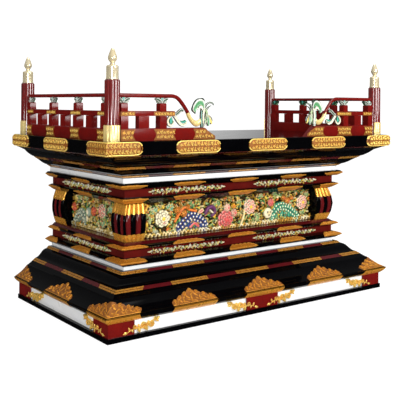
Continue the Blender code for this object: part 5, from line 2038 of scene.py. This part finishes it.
@dataclass
class CarvedPanels:
    """The drum's three carved panels: peonies and two lions on the front, one lion on each side.

    Sprays of leaves are given as along, up, direction, size and paint.
    """

    front_sprays: tuple[tuple[float, float, float, float, Paint], ...] = (
        (-0.4, 0.415, 1.9, 0.03, Paint.TURQUOISE), (-0.335, 0.425, 1.0, 0.032, Paint.TURQUOISE),
        (-0.42, 0.385, 3.0, 0.02, Paint.LIGHT_GREEN), (-0.4, 0.35, 4.4, 0.024, Paint.GREY_BLUE),
        (-0.225, 0.43, 1.5, 0.03, Paint.GREEN), (-0.085, 0.42, 1.6, 0.026, Paint.GREEN),
        (0.035, 0.42, 1.2, 0.026, Paint.GREEN), (0.135, 0.355, 0.6, 0.03, Paint.GREEN),
        (0.15, 0.345, 2.3, 0.024, Paint.LIGHT_GREEN), (0.165, 0.44, 1.5, 0.024, Paint.LIGHT_GREEN),
        (0.25, 0.445, 1.4, 0.022, Paint.GREEN), (0.35, 0.385, 2.0, 0.024, Paint.LIGHT_GREEN),
        (0.425, 0.365, 4.9, 0.028, Paint.GREEN), (0.45, 0.43, 1.2, 0.022, Paint.GREEN),
        (-0.3, 0.345, 4.0, 0.02, Paint.LIGHT_GREEN))
    side_sprays: tuple[tuple[float, float, float, float, Paint], ...] = (
        (0.27, 0.43, 1.8, 0.028, Paint.YELLOW), (0.23, 0.44, 1.2, 0.026, Paint.GREEN),
        (0.18, 0.44, 1.6, 0.024, Paint.LIGHT_GREEN), (0.03, 0.365, 4.6, 0.028, Paint.TURQUOISE),
        (-0.035, 0.41, 1.5, 0.034, Paint.TURQUOISE), (-0.045, 0.38, 4.4, 0.03, Paint.LIGHT_GREEN),
        (-0.065, 0.43, 2.0, 0.026, Paint.GREEN), (0.085, 0.44, 1.6, 0.026, Paint.PALE_GOLD))

    def build(self) -> None:
        """Carves and paints the three panels."""
        low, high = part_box("carved_panel_front")
        self.panel("front", Relief((low.x, low.z), (high.x, high.z)), (11, 1500, 5), self.front,
                   Flat((0, high.y, 0), (1, 0, 0), (0, -1, 0)))
        for side, sign in (("left", -1), ("right", 1)):
            low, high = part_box(f"carved_panel_{side}")
            self.panel(side, Relief((low.y, low.z), (high.y, high.z)), (23, 650, 9), self.side,
                       Flat((high.x if sign < 0 else low.x, 0, 0), (0, 1, 0), (sign, 0, 0)))

    def panel(self, name: str, relief: Relief, ground_cover: tuple[int, int, int],
              figures: Callable[[Relief], None], ground: Flat) -> None:
        """Carves, paints and builds one panel.

        Args:
            name: Its place, as its CAD node ends.
            relief: The panel.
            ground_cover: The undergrowth's seed and number of leaves, and the ground line's seed.
            figures: Adds its figures.
            ground: The plane of its back.
        """
        seed, count, line_seed = ground_cover
        relief.undergrowth(seed, count)
        relief.ground_line(line_seed)
        figures(relief)
        pile = Pile()
        relief.placed(pile, ground)
        pile.build(f"carved_panel_{name}_carving", PAINTED, Slot.CARVING, [f"carved_panel_{name}"], 75)

    def front(self, relief: Relief) -> None:
        """Adds the front panel's figures.

        Args:
            relief: The panel.
        """
        relief.trail(((-0.462, 0.33), (-0.448, 0.37), (-0.455, 0.41), (-0.44, 0.45)), 0.006, 0.018, 0.006,
                     Paint.ORANGE, Paint.YELLOW, 0.9)
        for spray in self.front_sprays:
            relief.spray(*spray, Paint.CREAM)
        relief.peony(-0.368, 0.392, 0.036, Paint.WHITE, Paint.WHITE, Paint.YELLOW)
        relief.petal(-0.385, 0.385, 0.6, 0.026, 0.014, 0.0255, 0.004, Paint.LIGHT_GREEN, Paint.YELLOW)
        relief.petal(-0.352, 0.378, 3.4, 0.022, 0.012, 0.0255, 0.004, Paint.PINK, Paint.WHITE)
        relief.trail(((-0.305, 0.375), (-0.285, 0.405), (-0.262, 0.428), (-0.232, 0.418), (-0.2, 0.41)),
                     0.0055, 0.02, 0.007, Paint.ORANGE, None, 0.7)
        for x, z, size in ((-0.292, 0.42, 0.016), (-0.262, 0.405, 0.017), (-0.243, 0.43, 0.013)):
            relief.peony(x, z, size, Paint.ORANGE, Paint.GOLD, Paint.OLD_GOLD, 0.02)
        self.lion(relief, ((-0.292, 0.338), (-0.262, 0.366), (-0.222, 0.388), (-0.18, 0.376),
                           (-0.15, 0.35)), Paint.BLUE)
        relief.petal(-0.193, 0.398, 0.5, 0.038, 0.022, 0.022, 0.006, Paint.PINK, Paint.CREAM)
        relief.trail(((-0.15, 0.398), (-0.135, 0.418), (-0.112, 0.42), (-0.1, 0.402), (-0.115, 0.385)),
                     0.0085, 0.022, 0.009, Paint.PURPLE, None, 0.6)
        relief.trail(((-0.13, 0.408), (-0.118, 0.398)), 0.0038, 0.031, 0.004, Paint.WHITE)
        relief.trail(((-0.225, 0.345), (-0.205, 0.358), (-0.185, 0.345)), 0.006, 0.018, 0.006, Paint.PINK,
                     Paint.ROSE)
        relief.peony(-0.032, 0.411, 0.018, Paint.PINK, Paint.WHITE, Paint.ROSE, 0.021)
        relief.peony(-0.04, 0.36, 0.042, Paint.ROSE, Paint.PINK, Paint.ROSE)
        relief.peony(0.008, 0.385, 0.018, Paint.ROSE, Paint.WHITE, Paint.ROSE, 0.018)
        relief.peony(0.004, 0.415, 0.012, Paint.ORANGE, Paint.YELLOW, Paint.ORANGE, 0.02)
        relief.peony(0.098, 0.405, 0.034, Paint.PINK, Paint.WHITE, Paint.YELLOW)
        relief.trail(((0.05, 0.335), (0.062, 0.365), (0.066, 0.385)), 0.0045, 0.02, 0.006, Paint.CREAM)
        self.lion(relief, ((0.232, 0.36), (0.268, 0.39), (0.318, 0.388), (0.362, 0.362), (0.385, 0.345)),
                  Paint.TURQUOISE)
        relief.ball(0.206, 0.368, 0.024, 0.02, 0.011, Paint.WHITE, Paint.CREAM)
        for x, z in ((0.198, 0.374), (0.214, 0.374), (0.206, 0.36)):
            relief.ball(x, z, 0.0038, 0.03, 0.003, Paint.BLACK)
        relief.peony(0.223, 0.415, 0.018, Paint.ROSE, Paint.PINK, Paint.ROSE, 0.02)
        for x, z, size in ((0.325, 0.416, 0.016), (0.3, 0.43, 0.013), (0.35, 0.428, 0.012)):
            relief.peony(x, z, size, Paint.ORANGE, Paint.GOLD, Paint.ROSE, 0.02)
        relief.peony(0.418, 0.403, 0.034, Paint.PINK, Paint.WHITE, Paint.YELLOW)

    def side(self, relief: Relief) -> None:
        """A side panel's figures.

        Args:
            relief: The panel.
        """
        for spray in self.side_sprays:
            relief.spray(*spray, Paint.CREAM)
        relief.peony(0.28, 0.4, 0.02, Paint.ROSE, Paint.ORANGE, Paint.YELLOW)
        self.lion(relief, ((0.262, 0.345), (0.24, 0.372), (0.205, 0.382), (0.18, 0.362)), Paint.GREY_BLUE)
        relief.ball(0.148, 0.392, 0.02, 0.02, 0.01, Paint.GREY_BLUE, Paint.WHITE)
        relief.petal(0.158, 0.345, 1.7, 0.034, 0.02, 0.022, 0.006, Paint.WHITE, Paint.CREAM)
        relief.peony(0.102, 0.4, 0.019, Paint.ORANGE, Paint.ROSE, Paint.GOLD, 0.02)
        relief.peony(0.032, 0.41, 0.03, Paint.ROSE, Paint.WHITE, Paint.PINK)

    def lion(self, relief: Relief, spine: Sequence[tuple[float, float]], coat: Paint) -> None:
        """A lion's body of curls along its spine, with legs below.

        Args:
            relief: The panel.
            spine: Its spine.
            coat: Paint of its coat.
        """
        foot = min(z for _, z in spine) - 0.02
        for x, z in spline(spine, 9):
            relief.petal(float(x), foot, math.pi / 2, float(z) - foot + 0.01, 0.03, 0.014, 0.007, coat,
                         None, 0.0, 0.3)
        relief.trail(spine, 0.0205, 0.01, 0.012, Paint.PURPLE if coat is Paint.BLUE else coat)
        for aside, shift, lift in ((0.0, -0.0135, 0.018), (0.0, 0.0135, 0.019), (0.007, 0.0, 0.0235)):
            curls = [(x + aside, z + shift) for x, z in spine]
            relief.trail(curls, 0.0076, lift, 0.007, coat, Paint.WHITE, 1.9)
        for x, z in (spine[0], spine[-1]):
            paw = ((x, z - 0.004), (x + 0.004, z - 0.016), (x - 0.004, z - 0.024))
            relief.trail(paw, 0.007, 0.021, 0.007, coat, Paint.WHITE, 0.9)


@dataclass
class Studio:
    """The pale floor, the soft lights and the camera."""

    eye: tuple[float, float, float] = (-2.0469, -2.6791, 0.8554)
    yaw: float = 0.6444
    pitch: float = 0.0015
    roll: float = 0.0089
    lens: float = 66.57
    shift: tuple[float, float] = (-0.007, -0.2348)
    floor_reach: float = 30.0
    brightness: float = 1.15

    def build(self) -> None:
        """Builds the floor, the world, the lights and the camera."""
        self.floor()
        self.world()
        self.light("key", (0.9, -4.2, 2.2), (0.1, 0.0, 0.45), 1.8, 120)
        self.light("top", (0.2, -0.6, 4.2), (0.0, 0.0, 0.7), 2.6, 60)
        self.light("eye_level", (-2.75, -3.4, 1.05), (-0.7, -0.3, 0.7), 0.8, 46)
        self.camera()

    def floor(self) -> None:
        """Lays the floor."""
        reach = self.floor_reach
        mesh = bpy.data.meshes.new("floor")
        mesh.from_pydata([(-reach, -reach, 0), (reach, -reach, 0), (reach, reach, 0), (-reach, reach, 0)],
                         [], [(0, 1, 2, 3)])
        mesh.materials.append(self.floor_material())
        made = bpy.data.objects.new("studio_floor", mesh)
        bpy.context.scene.collection.objects.link(made)

    def floor_material(self) -> bpy.types.Material:
        """A matt white that stays clean behind the dais and dark in the lacquer's reflections.

        Returns:
            The floor's material.
        """
        made = bpy.data.materials.new("pale studio floor")
        made.use_nodes = True
        tree = made.node_tree
        shader = tree.nodes["Principled BSDF"]
        feed(shader, {"Base Color": (0.86, 0.86, 0.86, 1.0), "Roughness": 0.9, "Specular IOR Level": 0.0})
        ray = put(tree, "LightPath", {}).outputs
        white = put(tree, "Emission", {"Strength": self.brightness}).outputs["Emission"]
        dark = put(tree, "Emission", {"Strength": 0.03}).outputs["Emission"]
        share = put(tree, "Math", {0: ray["Is Camera Ray"], 1: 0.8}, "MULTIPLY").outputs["Value"]
        clean = put(tree, "MixShader", {"Fac": share, 1: shader.outputs["BSDF"], 2: white})
        mirrored = put(tree, "MixShader", {"Fac": ray["Is Glossy Ray"], 1: clean.outputs["Shader"],
                                           2: dark})
        feed(tree.nodes["Material Output"], {"Surface": mirrored.outputs["Shader"]})
        return made

    def world(self) -> None:
        """Makes the surroundings: white to the eye, softly lit, dark near the horizon in reflections."""
        made = bpy.data.worlds.new("studio")
        made.use_nodes = True
        tree = made.node_tree
        ray = put(tree, "LightPath", {}).outputs
        place = put(tree, "TexCoord", {}).outputs["Generated"]
        parts = put(tree, "SeparateXYZ", {"Vector": place}).outputs
        behind = put(tree, "VectorMath", {0: place, 1: (0.45, 0.893, 0.0)}, "DOT_PRODUCT").outputs["Value"]
        sky, wall = mapped(parts["Z"], 0.08, 0.9, 0.012, 0.34), mapped(behind, 0.94, 0.998, 0.0, 0.9)
        both = put(tree, "Math", {0: sky, 1: wall}).outputs["Value"]
        fall = mapped(parts["X"], -0.9, 0.5, 0.72, 0.86)
        soft = put(tree, "Mix", {"Factor": ray["Is Glossy Ray"], "A": fall, "B": both}).outputs["Result"]
        seen = put(tree, "Mix", {"Factor": ray["Is Camera Ray"], "A": soft, "B": self.brightness})
        feed(tree.nodes["Background"], {"Strength": seen.outputs["Result"], "Color": (1.0, 1.0, 1.0, 1.0)})
        bpy.context.scene.world = made

    def light(self, name: str, place: tuple[float, float, float], target: tuple[float, float, float],
              size: float, power: float) -> None:
        """Sets up a soft square light.

        Args:
            name: Its name.
            place: Where it stands.
            target: Where it points.
            size: Its side.
            power: Its power in watts.
        """
        data = bpy.data.lights.new(name, "AREA")
        data.size = size
        data.energy = power
        made = bpy.data.objects.new(name + "_light", data)
        made.location = place
        made.rotation_euler = (Vector(target) - Vector(place)).to_track_quat("-Z", "Y").to_euler()
        bpy.context.scene.collection.objects.link(made)

    def camera(self) -> None:
        """Sets up the camera at the photograph's angle."""
        data = bpy.data.cameras.new("camera")
        data.sensor_width = 36.0
        data.lens = self.lens
        data.shift_x, data.shift_y = self.shift
        ahead = Vector((math.sin(self.yaw), math.cos(self.yaw), 0.0))
        side = Vector((math.cos(self.yaw), -math.sin(self.yaw), 0.0))
        up = Vector((0.0, 0.0, 1.0))
        look = ahead * math.cos(self.pitch) - up * math.sin(self.pitch)
        above = up * math.cos(self.pitch) + ahead * math.sin(self.pitch)
        right = side * math.cos(self.roll) + above * math.sin(self.roll)
        head = above * math.cos(self.roll) - side * math.sin(self.roll)
        made = bpy.data.objects.new("camera", data)
        turn = Matrix((right, head, -look)).transposed().to_4x4()
        made.matrix_world = Matrix.Translation(self.eye) @ turn
        bpy.context.scene.collection.objects.link(made)
        bpy.context.scene.camera = made


def main() -> None:
    """Builds the dais's looks, sub-assembly by sub-assembly."""
    bpy.context.scene.unit_settings.system = "METRIC"
    bpy.context.scene.view_settings.view_transform = "Standard"
    dais = Dais()
    for part in (Studio(), Mouldings(dais), SlabFittings(dais), LedgeFans(dais), FlareMounts(dais),
                 FilletStripes(dais), BandFoliage(dais), DadoBrackets(dais), Newels(dais),
                 Railings(dais), Pillars(dais), CarvedPanels()):
        LOG.info("building %s", type(part).__name__)
        part.build()


if __name__ == "__main__":
    logging.basicConfig(level=logging.INFO)
    main()
